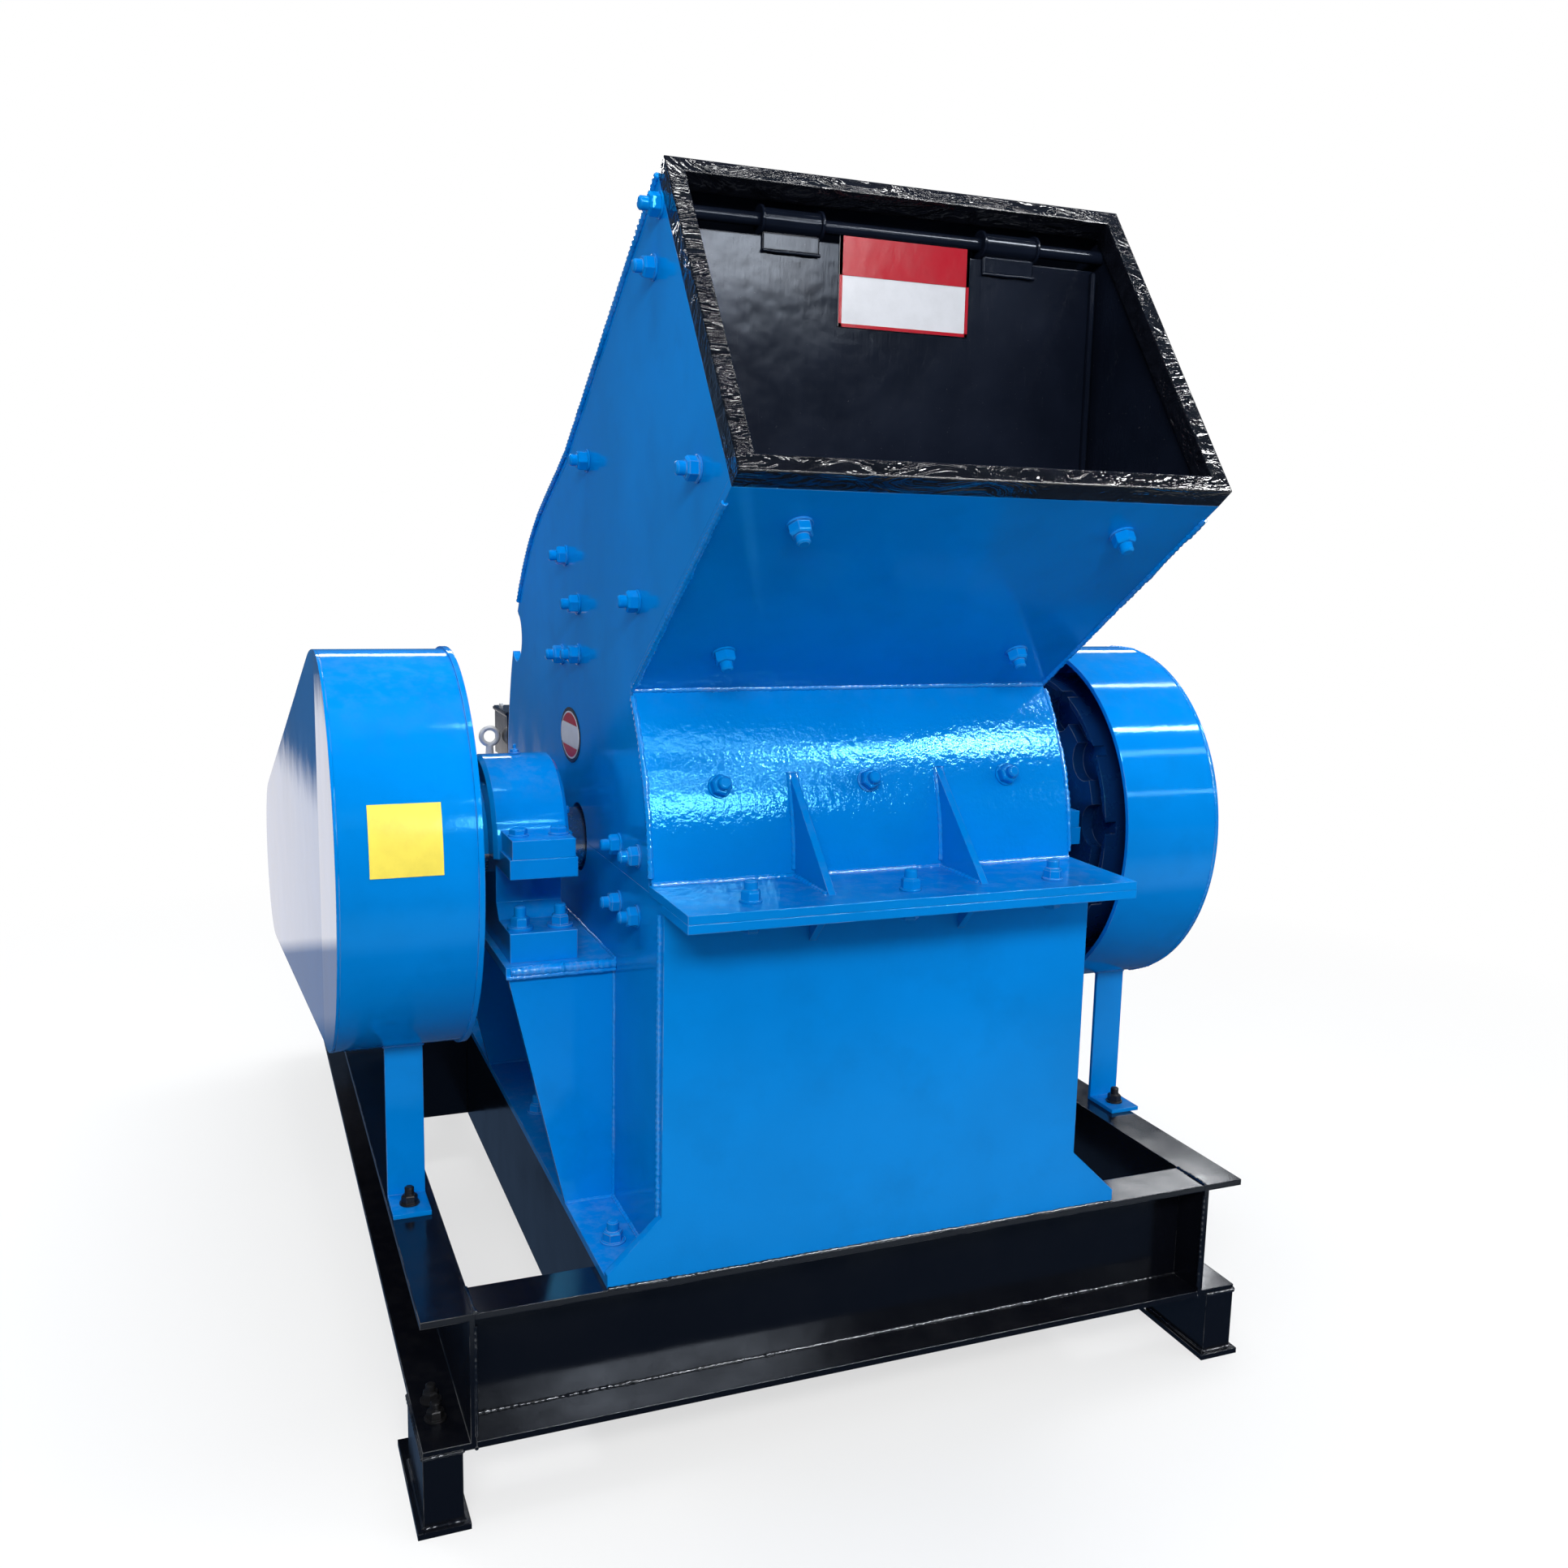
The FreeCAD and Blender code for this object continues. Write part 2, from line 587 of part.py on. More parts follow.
# the flap ends above the chute's floor below its pin
slope = (low_in[1] - foot_in[1]) / (foot_in[0] - low_in[0])
drop = pin_z - (foot_in[1] + slope * (foot_in[0] - pin_y)) - dim("flap_low_gap")
flap_x = inner_x - dim("flap_side_gap")
kn, kh, kr, ft = (dim("knuckle_length"), dim("knuckle_half"), dim("knuckle_radius"),
                  dim("flap_plate"))
b = body("feed_flap", 0, pin_y, pin_z)
along_x(b, box_points(-ft / 2, -drop, ft / 2, -kr - ft / 2), -flap_x, flap_x)
neck = root(kr * kr - ft * ft / 4)
for x in (-kh, kh):
    along_x(b, [(-ft / 2, -kr - ft), (ft / 2, -kr - ft), (ft / 2, -neck, kr, 0, 0, True),
                (-ft / 2, -neck)], x - kn / 2, x + kn / 2, holes=[(0, 0, pr + clear)])

# Bearing pedestals, and bearings split on the axis
pf, pr_y, pt, st = (dim("pedestal_front"), dim("pedestal_rear"), dim("pedestal_plate"),
                    dim("seat_plate"))
foot_h, foot_l = dim("bearing_foot"), dim("bearing_foot_reach")
ear_0, ear_l = dim("bearing_ear_from"), dim("bearing_ear_reach")
ear_low, ear_mid = axis_z - dim("bearing_ear_under"), axis_z + dim("bearing_ear_seam")
waist, br, ch = dim("bearing_waist"), dim("bearing_radius"), dim("bearing_chamfer")
bore = dim("shaft_radius") + dim("bore_clearance")
ecr, ec = dim("end_cover_radius"), dim("end_cover")
for side, right in SIDES:
    b = body("bearing_pedestal_" + side, 0, axis_y, 0)
    x0, x1 = mirrored(case_x, seat_x, right)
    so = dim("seat_overhang")
    along_z(b, box_points(x0, -pf - so, x1, pr_y + so), seat_z - st, seat_z)
    for y0 in (-pf, pr_y - pt):
        pts = [(case_x, base_z), (ear_x, base_z),
               (seat_x - dim("pedestal_set_in"), seat_z - st), (case_x, seat_z - st)]
        if not right:
            pts = [(-p[0], p[1]) for p in reversed(pts)]
        along_y(b, pts, y0, y0 + pt)
    near = case_x + dim("ear_gap")
    x0, x1 = mirrored(near, near + dim("bearing_ear_length"), right)
    b = body("bearing_base_" + side, 0, axis_y, 0)
    half = [(foot_l, seat_z), (foot_l, seat_z + foot_h),
            (waist + foot_h / 2, seat_z + foot_h), (waist, seat_z + foot_h * 1.5),
            (waist, ear_low), (ear_l, ear_low), (ear_l, ear_mid), (ear_0, ear_mid),
            (ear_0, axis_z)]
    along_x(b, half + [(bore, axis_z, bore, 0, axis_z, False), (-bore, axis_z)]
            + [(-y, z) for y, z in reversed(half)], x0, x1)
    b = body("bearing_cap_" + side, 0, axis_y, axis_z)
    near = case_x + dim("bearing_gap")
    x0, x1 = mirrored(near, near + dim("bearing_length"), right)
    turn(b, [(x0 - ec, bore), (x1 + ec, bore), (x1 + ec, ecr), (x1, ecr), (x1, br - ch),
             (x1 - ch, br), (x0 + ch, br), (x0, br - ch), (x0, ecr), (x0 - ec, ecr)], 180)
    near = case_x + dim("ear_gap")
    trim = dim("ear_set_in")
    x0, x1 = mirrored(near + trim, near + dim("bearing_ear_length") - trim, right)
    root_y = ear_0 - dim("bearing_ear_under")
    for y0, y1 in ((-ear_l, -root_y), (root_y, ear_l)):
        along_x(b, box_points(y0, dim("bearing_ear_seam"), y1, dim("bearing_ear_top")), x0, x1)

# Rotor, about the axis
shaft_r, big_r = dim("shaft_radius"), dim("shaft_body_radius")
wheel_near = seat_x + dim("flywheel_gap")
guard_near = seat_x + dim("belt_guard_gap")
guard_far = guard_near + dim("belt_guard_depth")
sl = guard_far - dim("shaft_end_gap")
sr = wheel_near + dim("flywheel_width") + dim("flywheel_shaft_over")
bx = inner_x - dim("shaft_shoulder")
b = body("rotor_shaft", 0, axis_y, axis_z)
turn(b, [(-sl, 0), (sr, 0), (sr, shaft_r), (bx, shaft_r), (bx, big_r), (-bx, big_r),
         (-bx, shaft_r), (-sl, shaft_r)])
dw, dr, hr = dim("disc_width"), dim("disc_radius"), dim("hub_radius")
# the end discs stand off the liners, and the others share the room between them
dp = ((2 * (inner_x - dim("liner_plate") - dim("rotor_gap")) - dw)
      / (dim("disc_count") - 1))
n = int(VALUE["disc_count"])
start = -dp * (n - 1) / 2 - dw / 2
rotor_end = dp * (n - 1) / 2 + dw / 2
b = body("rotor_discs", 0, axis_y, axis_z)
pts = [(start, big_r)]
for k in range(n):
    x = start + dp * k
    pts += [(x, dr), (x + dw, dr)]
    if k < n - 1:
        pts += [(x + dw, hr), (x + dp, hr)]
pts.append((rotor_end, big_r))
turn(b, pts)
pc, hpr = dim("pin_circle"), dim("hammer_pin_radius")
sk = sketch(b, "YZ_Plane", start - 1)
hole(sk, 0, pc, hpr + clear)
f = b.newObject("PartDesign::Pocket", "pin_bore")
f.Profile = sk
f.Length = (rotor_end - start + 2).value
bind(f, "Length", rotor_end - start + 2)
f.Reversed = True
p = b.newObject("PartDesign::PolarPattern", "pin_bores")
p.Originals = [f]
p.Axis = (sk, ["N_Axis"])
p.Angle = 360
p.Occurrences = 4
b.Tip = p
pins = []
hw, hh, hb = dp - dw - 2 * dim("hammer_gap"), dim("hammer_half"), dim("hammer_back")
tip = dim("hammer_tip") - pc
pin_end = rotor_end + dim("pin_over")
for k, (y, z) in enumerate(((0, 1), (1, 0), (0, -1), (-1, 0)), start=1):
    b = body("hammer_pin_%d" % k, 0, axis_y + pc * y, axis_z + pc * z, node=False)
    disc_turn(b, -pin_end, pin_end, hpr)
    pins.append(b)
    # the hammers of one row, held out along the radius, with cut corners at the tip
    row = []
    for j in range(n - 1):
        x = start + dw + dp * j + (dp - dw - hw) / 2
        b = body("hammer_%d_%d" % (k, j + 1), 0, axis_y + pc * y, axis_z + pc * z, node=False)
        flat = [(-hh, -hb), (hh, -hb), (hh, tip - hh / 3), (hh - hh / 3, tip),
                (-hh + hh / 3, tip), (-hh, tip - hh / 3)]
        turned = {(0, 1): lambda u, v: (u, v), (0, -1): lambda u, v: (-u, -v),
                  (1, 0): lambda u, v: (v, -u), (-1, 0): lambda u, v: (-v, u)}[(y, z)]
        along_x(b, [turned(u, v) for u, v in flat], x, x + hw, holes=[(0, 0, hpr + clear)])
        row.append(b)
    group("Part::Compound", "hammer_row_%d" % k, row, "Links")
group("Part::Compound", "hammer_pins", pins, "Links")

# Flywheel: a groove round its face, bitten into by a ring of round recesses
b = body("flywheel", 0, axis_y, axis_z)
fr, fn, fw = dim("flywheel_radius"), wheel_near, dim("flywheel_width")
sink, lipf = dim("flywheel_sink"), dim("flywheel_lip")
groove = fr - lipf - dim("flywheel_groove")
fb, dish = dim("flywheel_bore_radius"), dim("flywheel_dish")
turn(b, [(fn, shaft_r), (fn + fw, shaft_r), (fn + fw, fb), (fn + fw - dish, fb),
         (fn + fw - dish, groove), (fn + fw, groove), (fn + fw, fr), (fn, fr),
         (fn, fr - lipf), (fn + sink, fr - lipf), (fn + sink, groove), (fn, groove)])
sk = sketch(b, "YZ_Plane", fn)
turn_by = dim("bite_turn")
hole(sk, -dim("bite_circle") * cosine(turn_by), dim("bite_circle") * sine(turn_by),
     dim("bite_radius"))
f = b.newObject("PartDesign::Pocket", "bite")
f.Profile = sk
f.Length = sink.value
bind(f, "Length", sink)
f.Reversed = True
p = b.newObject("PartDesign::PolarPattern", "bites")
p.Originals = [f]
p.Axis = (sk, ["N_Axis"])
p.Angle = 360
p.Occurrences = int(VALUE["bite_count"])
bind(p, "Occurrences", dim("bite_count"))
b.Tip = p

# Grooved pulleys: one groove for each belt
belt_n = int(VALUE["belt_count"])
g, gd, gh, gf2 = (dim("groove_pitch"), dim("groove_depth"), dim("groove_half"),
                  dim("groove_foot"))
pulley_far = -(seat_x + dim("pulley_gap")) - dim("pulley_width")
first_groove = pulley_far + (dim("pulley_width") - g * (belt_n - 1)) / 2


def pulley(name, y, z, rp, rs, hub_r):
    b = body(name, 0, y, z)
    x0, x1 = pulley_far, pulley_far + dim("pulley_width")
    rim_r, w = rp - dim("pulley_rim"), dim("pulley_web")
    pts = [(x0, rim_r), (x0, rp)]
    for k in range(belt_n):
        c = first_groove + g * k
        pts += [(c - gh, rp), (c - gf2, rp - gd), (c + gf2, rp - gd), (c + gh, rp)]
    m0, m1 = (x0 + x1 - w) / 2, (x0 + x1 + w) / 2
    pts += [(x1, rp), (x1, rim_r), (m1, rim_r), (m1, hub_r), (x1, hub_r), (x1, rs),
            (x0, rs), (x0, hub_r), (m0, hub_r), (m0, rim_r)]
    turn(b, pts)


motor_y, motor_z = axis_y + dim("motor_setback"), frame_top + dim("motor_rise")
mr, msr = dim("motor_pulley_radius"), dim("motor_shaft_radius")
pulley("drive_pulley", axis_y, axis_z, dim("pulley_radius"), shaft_r, dim("pulley_hub_radius"))
pulley("motor_pulley", motor_y, motor_z, mr, msr, dim("motor_hub_radius"))


def loop(rb, ra, y0=0, z0=0):
    """Outline of a band about both pulleys: its radii at the rotor and the motor."""
    dy, dz = motor_y - axis_y, motor_z - axis_z
    dist = root(dy * dy + dz * dz)
    ey, ez = dy / dist, dz / dist
    k = (rb - ra) / dist
    w = root(1 - k * k)
    up = (ey * k - ez * w, ez * k + ey * w)
    dn = (ey * k + ez * w, ez * k - ey * w)
    ay, az, my, mz = axis_y - y0, axis_z - z0, motor_y - y0, motor_z - z0
    return [(ay + up[0] * rb, az + up[1] * rb),
            (my + up[0] * ra, mz + up[1] * ra, ra, my, mz, False),
            (my + dn[0] * ra, mz + dn[1] * ra),
            (ay + dn[0] * rb, az + dn[1] * rb, rb, ay, az, False)]


def band(b, x0, x1, rb, ra, rb_in, ra_in):
    sk = sketch(b, "YZ_Plane", x0)
    outline(sk, loop(rb, ra))
    outline(sk, loop(rb_in, ra_in))
    return pad(b, sk, size(x1) - x0)


# Belts: fixed loops that lie in the grooves
belts = []
lift, rp = dim("belt_lift"), dim("pulley_radius")
for k in range(belt_n):
    b = body("v_belt_%d" % (k + 1), node=False)
    c = first_groove + g * k
    band(b, c - gf2, c + gf2, rp + lift, mr + lift, rp - gd + lift, mr - gd + lift)
    belts.append(b)
group("Part::Compound", "v_belts", belts, "Links")

# Belt guard: a rim band with a rolled lip, and an outer plate that flares
# outwards towards the motor
gs, gR, gE = dim("guard_sheet"), dim("belt_guard_radius"), dim("belt_guard_end_radius")
flare, ring = dim("belt_guard_flare"), dim("guard_lip")
flare_y = axis_y + dim("motor_setback")
b = body("belt_guard_rim")
band(b, -guard_far - flare * 2, -guard_near, gR, gE, gR - gs, gE - gs)
sk = sketch(b, "XY_Plane", frame_top)
far2 = -guard_far - flare * 3
out_y = flare_y + gE + ring
k_y = flare / (flare_y - axis_y)
outline(sk, [(far2, axis_y - gR - ring), (-guard_far, axis_y - gR - ring),
             (-guard_far, axis_y), (-guard_far - k_y * (out_y - axis_y), out_y),
             (far2, out_y)])
f = b.newObject("PartDesign::Pocket", "flare_cut")
f.Profile = sk
f.Length = (axis_z - frame_top + gR + ring).value
bind(f, "Length", axis_z - frame_top + gR + ring)
f.Reversed = True
band(b, -guard_near - ring, -guard_near, gR + ring / 2, gE + ring / 2,
     gR - ring * 2, gE - ring * 2)
# the outer plate: its flat front part and the part that leans out, cut from a
# thick slab by two lines seen from above
b = body("belt_guard_outer_plate")
sk = sketch(b, "YZ_Plane", -guard_far - flare * 2 - gs)
outline(sk, loop(gR, gE))
pad(b, sk, flare * 2 + gs)
for inside in (False, True):
    sk = sketch(b, "XY_Plane", frame_top)
    off = -guard_far if inside else -guard_far - gs
    edge = -guard_far + flare if inside else far2 - gs
    outline(sk, [(edge, axis_y - gR - ring), (off, axis_y - gR - ring), (off, axis_y),
                 (off - k_y * (out_y - axis_y), out_y), (edge, out_y)])
    f = b.newObject("PartDesign::Pocket", "lean_%d" % inside)
    f.Profile = sk
    f.Length = (axis_z - frame_top + gR + ring).value
    bind(f, "Length", axis_z - frame_top + gR + ring)
    f.Reversed = True

# Flywheel guard: a drum with a closed outer end, open to the casing
wn = wheel_near + dim("wheel_guard_gap")
wf, wR = wn + dim("wheel_guard_depth"), dim("wheel_guard_radius")
b = body("flywheel_guard", 0, axis_y, axis_z)
turn(b, [(wn, wR - ring), (wn, wR), (wf, wR), (wf, 0), (wf - gs, 0), (wf - gs, wR - gs),
         (wn + ring, wR - gs), (wn + ring, wR - ring)])

# Legs of the guards, bolted to the side beams
lw, lt, lf, ll = dim("leg_width"), dim("leg_plate"), dim("leg_forward"), dim("leg_foot")
for name, x, r in (("belt_guard_leg", -side_x + dim("leg_left_inset"), gR),
                   ("flywheel_guard_leg", side_x - dim("leg_right_inset"), wR)):
    b = body(name)
    y0 = axis_y - lf
    top = axis_z - root(r * r - lf * lf)
    back = axis_z - root(r * r - (lf - lt) * (lf - lt))
    along_x(b, [(y0, frame_top + lt), (y0 - ll, frame_top + lt), (y0 - ll, frame_top),
                (y0 + lt, frame_top), (y0 + lt, back, r, axis_y, axis_z, False), (y0, top)],
            x - lw / 2, x + lw / 2)

# Motor: finned frame, cowl and feet
mx = -(guard_near + dim("motor_nose_gap"))
mfr, ml, nose = dim("motor_radius"), dim("motor_length"), dim("motor_nose_radius")
nl, cl, ce = dim("motor_nose"), dim("motor_cowl"), dim("cowl_end")
b = body("motor_frame", 0, motor_y, motor_z, node=False)
shield, slope_x, slope_z = dim("motor_shield"), dim("shield_slope"), dim("shield_drop")
turn(b, [(mx - dim("motor_shaft"), 0), (mx - dim("motor_shaft"), msr), (mx, msr), (mx, nose),
         (mx + nl, nose), (mx + nl + slope_x, mfr - slope_z), (mx + nl + shield, mfr),
         (mx + ml, mfr), (mx + ml, 0)])
sk = sketch(b, "YZ_Plane", mx + dim("fin_from"))
fin_w, fin_h = dim("fin_width"), dim("fin_height")
outline(sk, box_points(-fin_w / 2, mfr - dim("fin_root"), fin_w / 2, mfr + fin_h))
f = pad(b, sk, dim("fin_to") - dim("fin_from"))
p = b.newObject("PartDesign::PolarPattern", "fins")
p.Originals = [f]
p.Axis = (sk, ["N_Axis"])
p.Angle = 360
p.Occurrences = int(VALUE["fin_count"])
bind(p, "Occurrences", dim("fin_count"))
b.Tip = p
motor = [b]
foot_rise = motor_z - dim("motor_foot_rise")
spread = dim("motor_foot_spread")
arch = motor_z - root(mfr * mfr - spread * spread)
fp, fhalf = dim("motor_foot_plate"), dim("motor_foot_reach")
foot_near = mx + dim("motor_foot_near")
rail_y0, rail_y1 = base_end + dim("rail_end_gap"), rear_y - dim("rail_end_gap")
for name, x in (("front", foot_near), ("back", foot_near + dim("motor_foot_apart"))):
    x0, x1 = x - dim("motor_foot_width") / 2, x + dim("motor_foot_width") / 2
    b = body("motor_foot_" + name, node=False)
    motor.append(b)
    along_x(b, [(motor_y - fhalf, foot_rise), (motor_y + fhalf, foot_rise),
                (motor_y + fhalf, foot_rise + fp),
                (motor_y + spread, arch, mfr, motor_y, motor_z, False),
                (motor_y - spread, arch), (motor_y - fhalf, foot_rise + fp)], x0, x1)
    block("motor_rail_" + name, x - dim("rail_width") / 2, rail_y0, frame_top,
          x + dim("rail_width") / 2, rail_y1, foot_rise)
group("Part::MultiFuse", "motor_body", motor, "Shapes")
b = body("motor_fan_cowl", 0, motor_y, motor_z)
cr = mfr + dim("cowl_lift")
turn(b, [(mx + ml, 0), (mx + ml, cr), (mx + ml + cl - ce, cr), (mx + ml + cl, cr - ce),
         (mx + ml + cl, 0)])
bz = motor_z + mfr + fin_h
block("motor_terminal_box", mx + dim("box_from"), motor_y - dim("box_width") / 2, bz,
      mx + dim("box_from") + dim("box_length"), motor_y + dim("box_width") / 2,
      bz + dim("box_height"))

# Grate of bars under the rotor, between two curved ends
gr, ge, gt, ga = (dim("grate_radius"), dim("grate_end"), dim("grate_bar_thick"),
                  dim("grate_from_angle"))
c, s = cosine(ga), sine(ga)
far, gx = gr + dim("grate_bar_depth"), inner_x - clear
b = body("grate", 0, axis_y, axis_z)
for x0, x1 in ((-gx, -gx + ge), (gx - ge, gx)):
    along_x(b, [(-far * c, -far * s, far, 0, 0, True), (far * c, -far * s),
                (gr * c, -gr * s, gr, 0, 0, False), (-gr * c, -gr * s)], x0, x1)
first = ga + dim("grate_step_angle")
ca, sa = cosine(first), sine(first)


def on_bar(r, t):
    return (-r * ca + t * sa, -r * sa - t * ca)


f = along_x(b, [on_bar(gr + 2, -gt / 2), on_bar(far - 1, -gt / 2), on_bar(far - 1, gt / 2),
                on_bar(gr + 2, gt / 2)], -gx + ge - 1, gx - ge + 1)
p = b.newObject("PartDesign::PolarPattern", "grate_bars")
p.Originals = [f]
p.Axis = (f.Profile[0], ["N_Axis"])
p.Angle = (180 - 2 * first).value
bind(p, "Angle", 180 - 2 * first)
p.Occurrences = int(VALUE["grate_count"])
bind(p, "Occurrences", dim("grate_count"))
b.Tip = p

doc.recompute()

bad = [o.Name for o in doc.Objects if "Invalid" in o.State or "Error" in o.State]
for o in NODES:
    if o.Shape.isNull() or not o.Shape.isValid():
        bad.append("shape of " + o.Label)
if bad:
    raise SystemExit("failed: " + ", ".join(bad))
for o in NODES:
    o.Shape.exportStep("parts/" + o.Label + ".step")
print(len(NODES), "nodes")
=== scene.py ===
"""Dresses the packed hammer crusher: paints, fasteners, welds, plates and stage."""

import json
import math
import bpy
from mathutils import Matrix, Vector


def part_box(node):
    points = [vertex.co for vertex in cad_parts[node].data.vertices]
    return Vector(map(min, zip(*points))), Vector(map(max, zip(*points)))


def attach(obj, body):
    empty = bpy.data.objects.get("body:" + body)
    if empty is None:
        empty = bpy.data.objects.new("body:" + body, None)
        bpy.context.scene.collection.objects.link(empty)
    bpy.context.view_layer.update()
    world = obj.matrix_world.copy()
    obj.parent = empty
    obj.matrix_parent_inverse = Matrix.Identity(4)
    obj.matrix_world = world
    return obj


bl_info = {
    "name": "Hammer Crusher Dressing",
    "version": (1, 0, 0),
    "blender": (4, 5, 0),
    "location": "3D View > Sidebar > Crusher",
    "description": "Paints a packed hammer crusher and adds its nuts, welds, plates and stage",
    "category": "Object",
}

import bmesh
import bpy
from bpy.props import FloatProperty, FloatVectorProperty, IntProperty, PointerProperty
from mathutils import Matrix, Vector

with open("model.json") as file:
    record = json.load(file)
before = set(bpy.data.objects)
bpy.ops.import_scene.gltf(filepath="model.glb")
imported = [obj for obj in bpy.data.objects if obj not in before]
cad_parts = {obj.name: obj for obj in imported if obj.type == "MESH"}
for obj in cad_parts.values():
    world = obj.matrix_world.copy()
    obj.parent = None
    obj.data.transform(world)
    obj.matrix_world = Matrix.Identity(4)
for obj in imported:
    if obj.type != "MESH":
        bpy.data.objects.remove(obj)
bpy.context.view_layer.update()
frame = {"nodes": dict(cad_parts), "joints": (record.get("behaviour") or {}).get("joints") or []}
NODES = frame["nodes"]
JOINTS = {j["name"]: j for j in frame["joints"]}
AXIS = Vector(JOINTS["rotor_spin"]["pos_m"])
PIN = Vector(JOINTS["flap_swing"]["pos_m"])


def low(node):
    return Vector(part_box(node)[0])


def high(node):
    return Vector(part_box(node)[1])


def ends(node):
    return low(node), high(node)


CASE = high("hopper_rim").x
ACROSS = (-CASE, 0, CASE)
SIDES = (-1, 1)
NAMED_SIDES = ((-1, "left"), (1, "right"))
UPWARD = (0, 0, 1)


def colour_field(name, description, default):
    return FloatVectorProperty(name=name, description=description, subtype="COLOR",
                               size=3, min=0, max=1, default=default)


def length_field(name, description, default, least, most):
    return FloatProperty(name=name, description=description, unit="LENGTH",
                         default=default, min=least, max=most)


class CrusherPaints(bpy.types.PropertyGroup):
    """Colours of the paints and finishes."""

    body: colour_field("Body paint", "Gloss paint of the casing, guards and motor",
                       (0.0, 0.21, 0.655))
    frame: colour_field("Frame paint", "Gloss paint of the skid and the mouth",
                        (0.0030, 0.0036, 0.0060))
    # navy paint darkened further with painted shade: the guards' shadow on the flywheel and
    # pulleys
    wheel: colour_field("Wheel paint", "Dark paint of the flywheel and pulleys",
                        (0.002, 0.018, 0.075))
    plate: colour_field("Plate enamel", "Ground of the blank plate on the flap",
                        (0.60, 0.62, 0.67))
    edge: colour_field("Plate border", "Border of the blank plates", (0.38, 0.004, 0.016))
    guard_plate: colour_field("Guard plate enamel", "Blank plate on the belt guard",
                              (0.84, 0.70, 0.10))


class CrusherFasteners(bpy.types.PropertyGroup):
    """Sizes of the nuts and bolts."""

    flats: length_field("Casing nut", "Width across flats of the casing nuts",
                        0.030, 0.01, 0.06)
    height: length_field("Nut height", "Height of the casing nuts", 0.016, 0.004, 0.04)
    stud: length_field("Stud radius", "Radius of the studs in the casing nuts",
                       0.010, 0.002, 0.02)
    tip: length_field("Stud tip", "How far a stud stands out of its nut",
                      0.011, 0.0, 0.04)


class CrusherWelds(bpy.types.PropertyGroup):
    """Sizes of the weld beads."""

    radius: length_field("Bead radius", "Radius of the main weld beads",
                         0.005, 0.001, 0.012)
    pitch: length_field("Ripple pitch", "Distance between the ripples of a bead",
                        0.011, 0.003, 0.03)
    seed: IntProperty(
        name="Seed", description="Seed of the unevenness of the beads", default=4)


class CrusherStage(bpy.types.PropertyGroup):
    """Camera, floor and light."""

    lens: FloatProperty(
        name="Lens", description="Focal length on a 36 mm sensor",
        default=32.667, min=10, max=200)
    floor: colour_field("Floor", "Colour of the floor", (0.80, 0.80, 0.80))
    key: FloatProperty(
        name="Key light", description="Power of the large lamp in front",
        unit="POWER", default=142.0, min=0)
    tubes: FloatProperty(
        name="Ceiling tubes", description="Brightness of the tubes seen in the gloss",
        default=1.0, min=0)


# Node helpers

def add(tree, kind, inputs=None, **props):
    """A node with its properties set and its inputs linked or filled."""
    node = tree.nodes.new(kind)
    for key, value in props.items():
        setattr(node, key, value)
    for key, value in (inputs or {}).items():
        if isinstance(value, bpy.types.NodeSocket):
            tree.links.new(value, node.inputs[key])
        else:
            node.inputs[key].default_value = value
    return node


def maths(tree, operation, a, b=0.0):
    return add(tree, "ShaderNodeMath", {0: a, 1: b}, operation=operation).outputs[0]


def times(tree, a, b):
    return maths(tree, "MULTIPLY", a, b)


def parts_of(tree, vector):
    return add(tree, "ShaderNodeSeparateXYZ", {0: vector}).outputs


def noise(tree, where, scale, detail=3.0, rough=0.5):
    return add(tree, "ShaderNodeTexNoise", {
        "Vector": where, "Scale": scale, "Detail": detail,
        "Roughness": rough}).outputs["Fac"]


def spread(tree, value, a, b, c=0.0, d=1.0):
    """A value's stretch from a to b, turned into c to d."""
    return add(tree, "ShaderNodeMapRange", {
        "Value": value, "From Min": a, "From Max": b, "To Min": c, "To Max": d},
        clamp=True).outputs["Result"]


def blended(tree, share, one, other):
    node = add(tree, "ShaderNodeMix", data_type="RGBA")
    for index, value in ((0, share), (6, one), (7, other)):
        if isinstance(value, bpy.types.NodeSocket):
            tree.links.new(value, node.inputs[index])
        elif index:
            node.inputs[index].default_value = (*value, 1.0)
        else:
            node.inputs[index].default_value = value
    return node.outputs[2]


def bump(tree, height, distance, strength=1.0, normal=None):
    inputs = {"Height": height, "Distance": distance, "Strength": strength}
    if normal is not None:
        inputs["Normal"] = normal
    return add(tree, "ShaderNodeBump", inputs).outputs["Normal"]


def finish(name, metallic=0.0, coat=0.0, coat_rough=0.1, specular=0.5, tint=(1, 1, 1)):
    """A new material: its tree, its shader and its Object coordinates."""
    mat = bpy.data.materials.new(name)
    mat.use_nodes = True
    tree = mat.node_tree
    tree.nodes.clear()
    shader = add(tree, "ShaderNodeBsdfPrincipled", {
        "Metallic": metallic, "Coat Weight": coat, "Coat Roughness": coat_rough,
        "Specular IOR Level": specular, "Specular Tint": (*tint, 1.0)})
    add(tree, "ShaderNodeOutputMaterial", {"Surface": shader.outputs["BSDF"]})
    where = add(tree, "ShaderNodeTexCoord").outputs["Object"]
    return mat, tree, shader, where


def scaled(colour, factor):
    return tuple(min(1.0, c * factor) for c in colour)


def mottled(tree, mask, a, b, colour, one, other):
    """A colour that drifts between two shades of it."""
    return blended(tree, spread(tree, mask, a, b), scaled(colour, one),
                   scaled(colour, other))


def flecked(tree, tone, mask, a, b, share, colour):
    """A tone with a share of another colour where a mask is high."""
    return blended(tree, times(tree, spread(tree, mask, a, b), share), tone, colour)


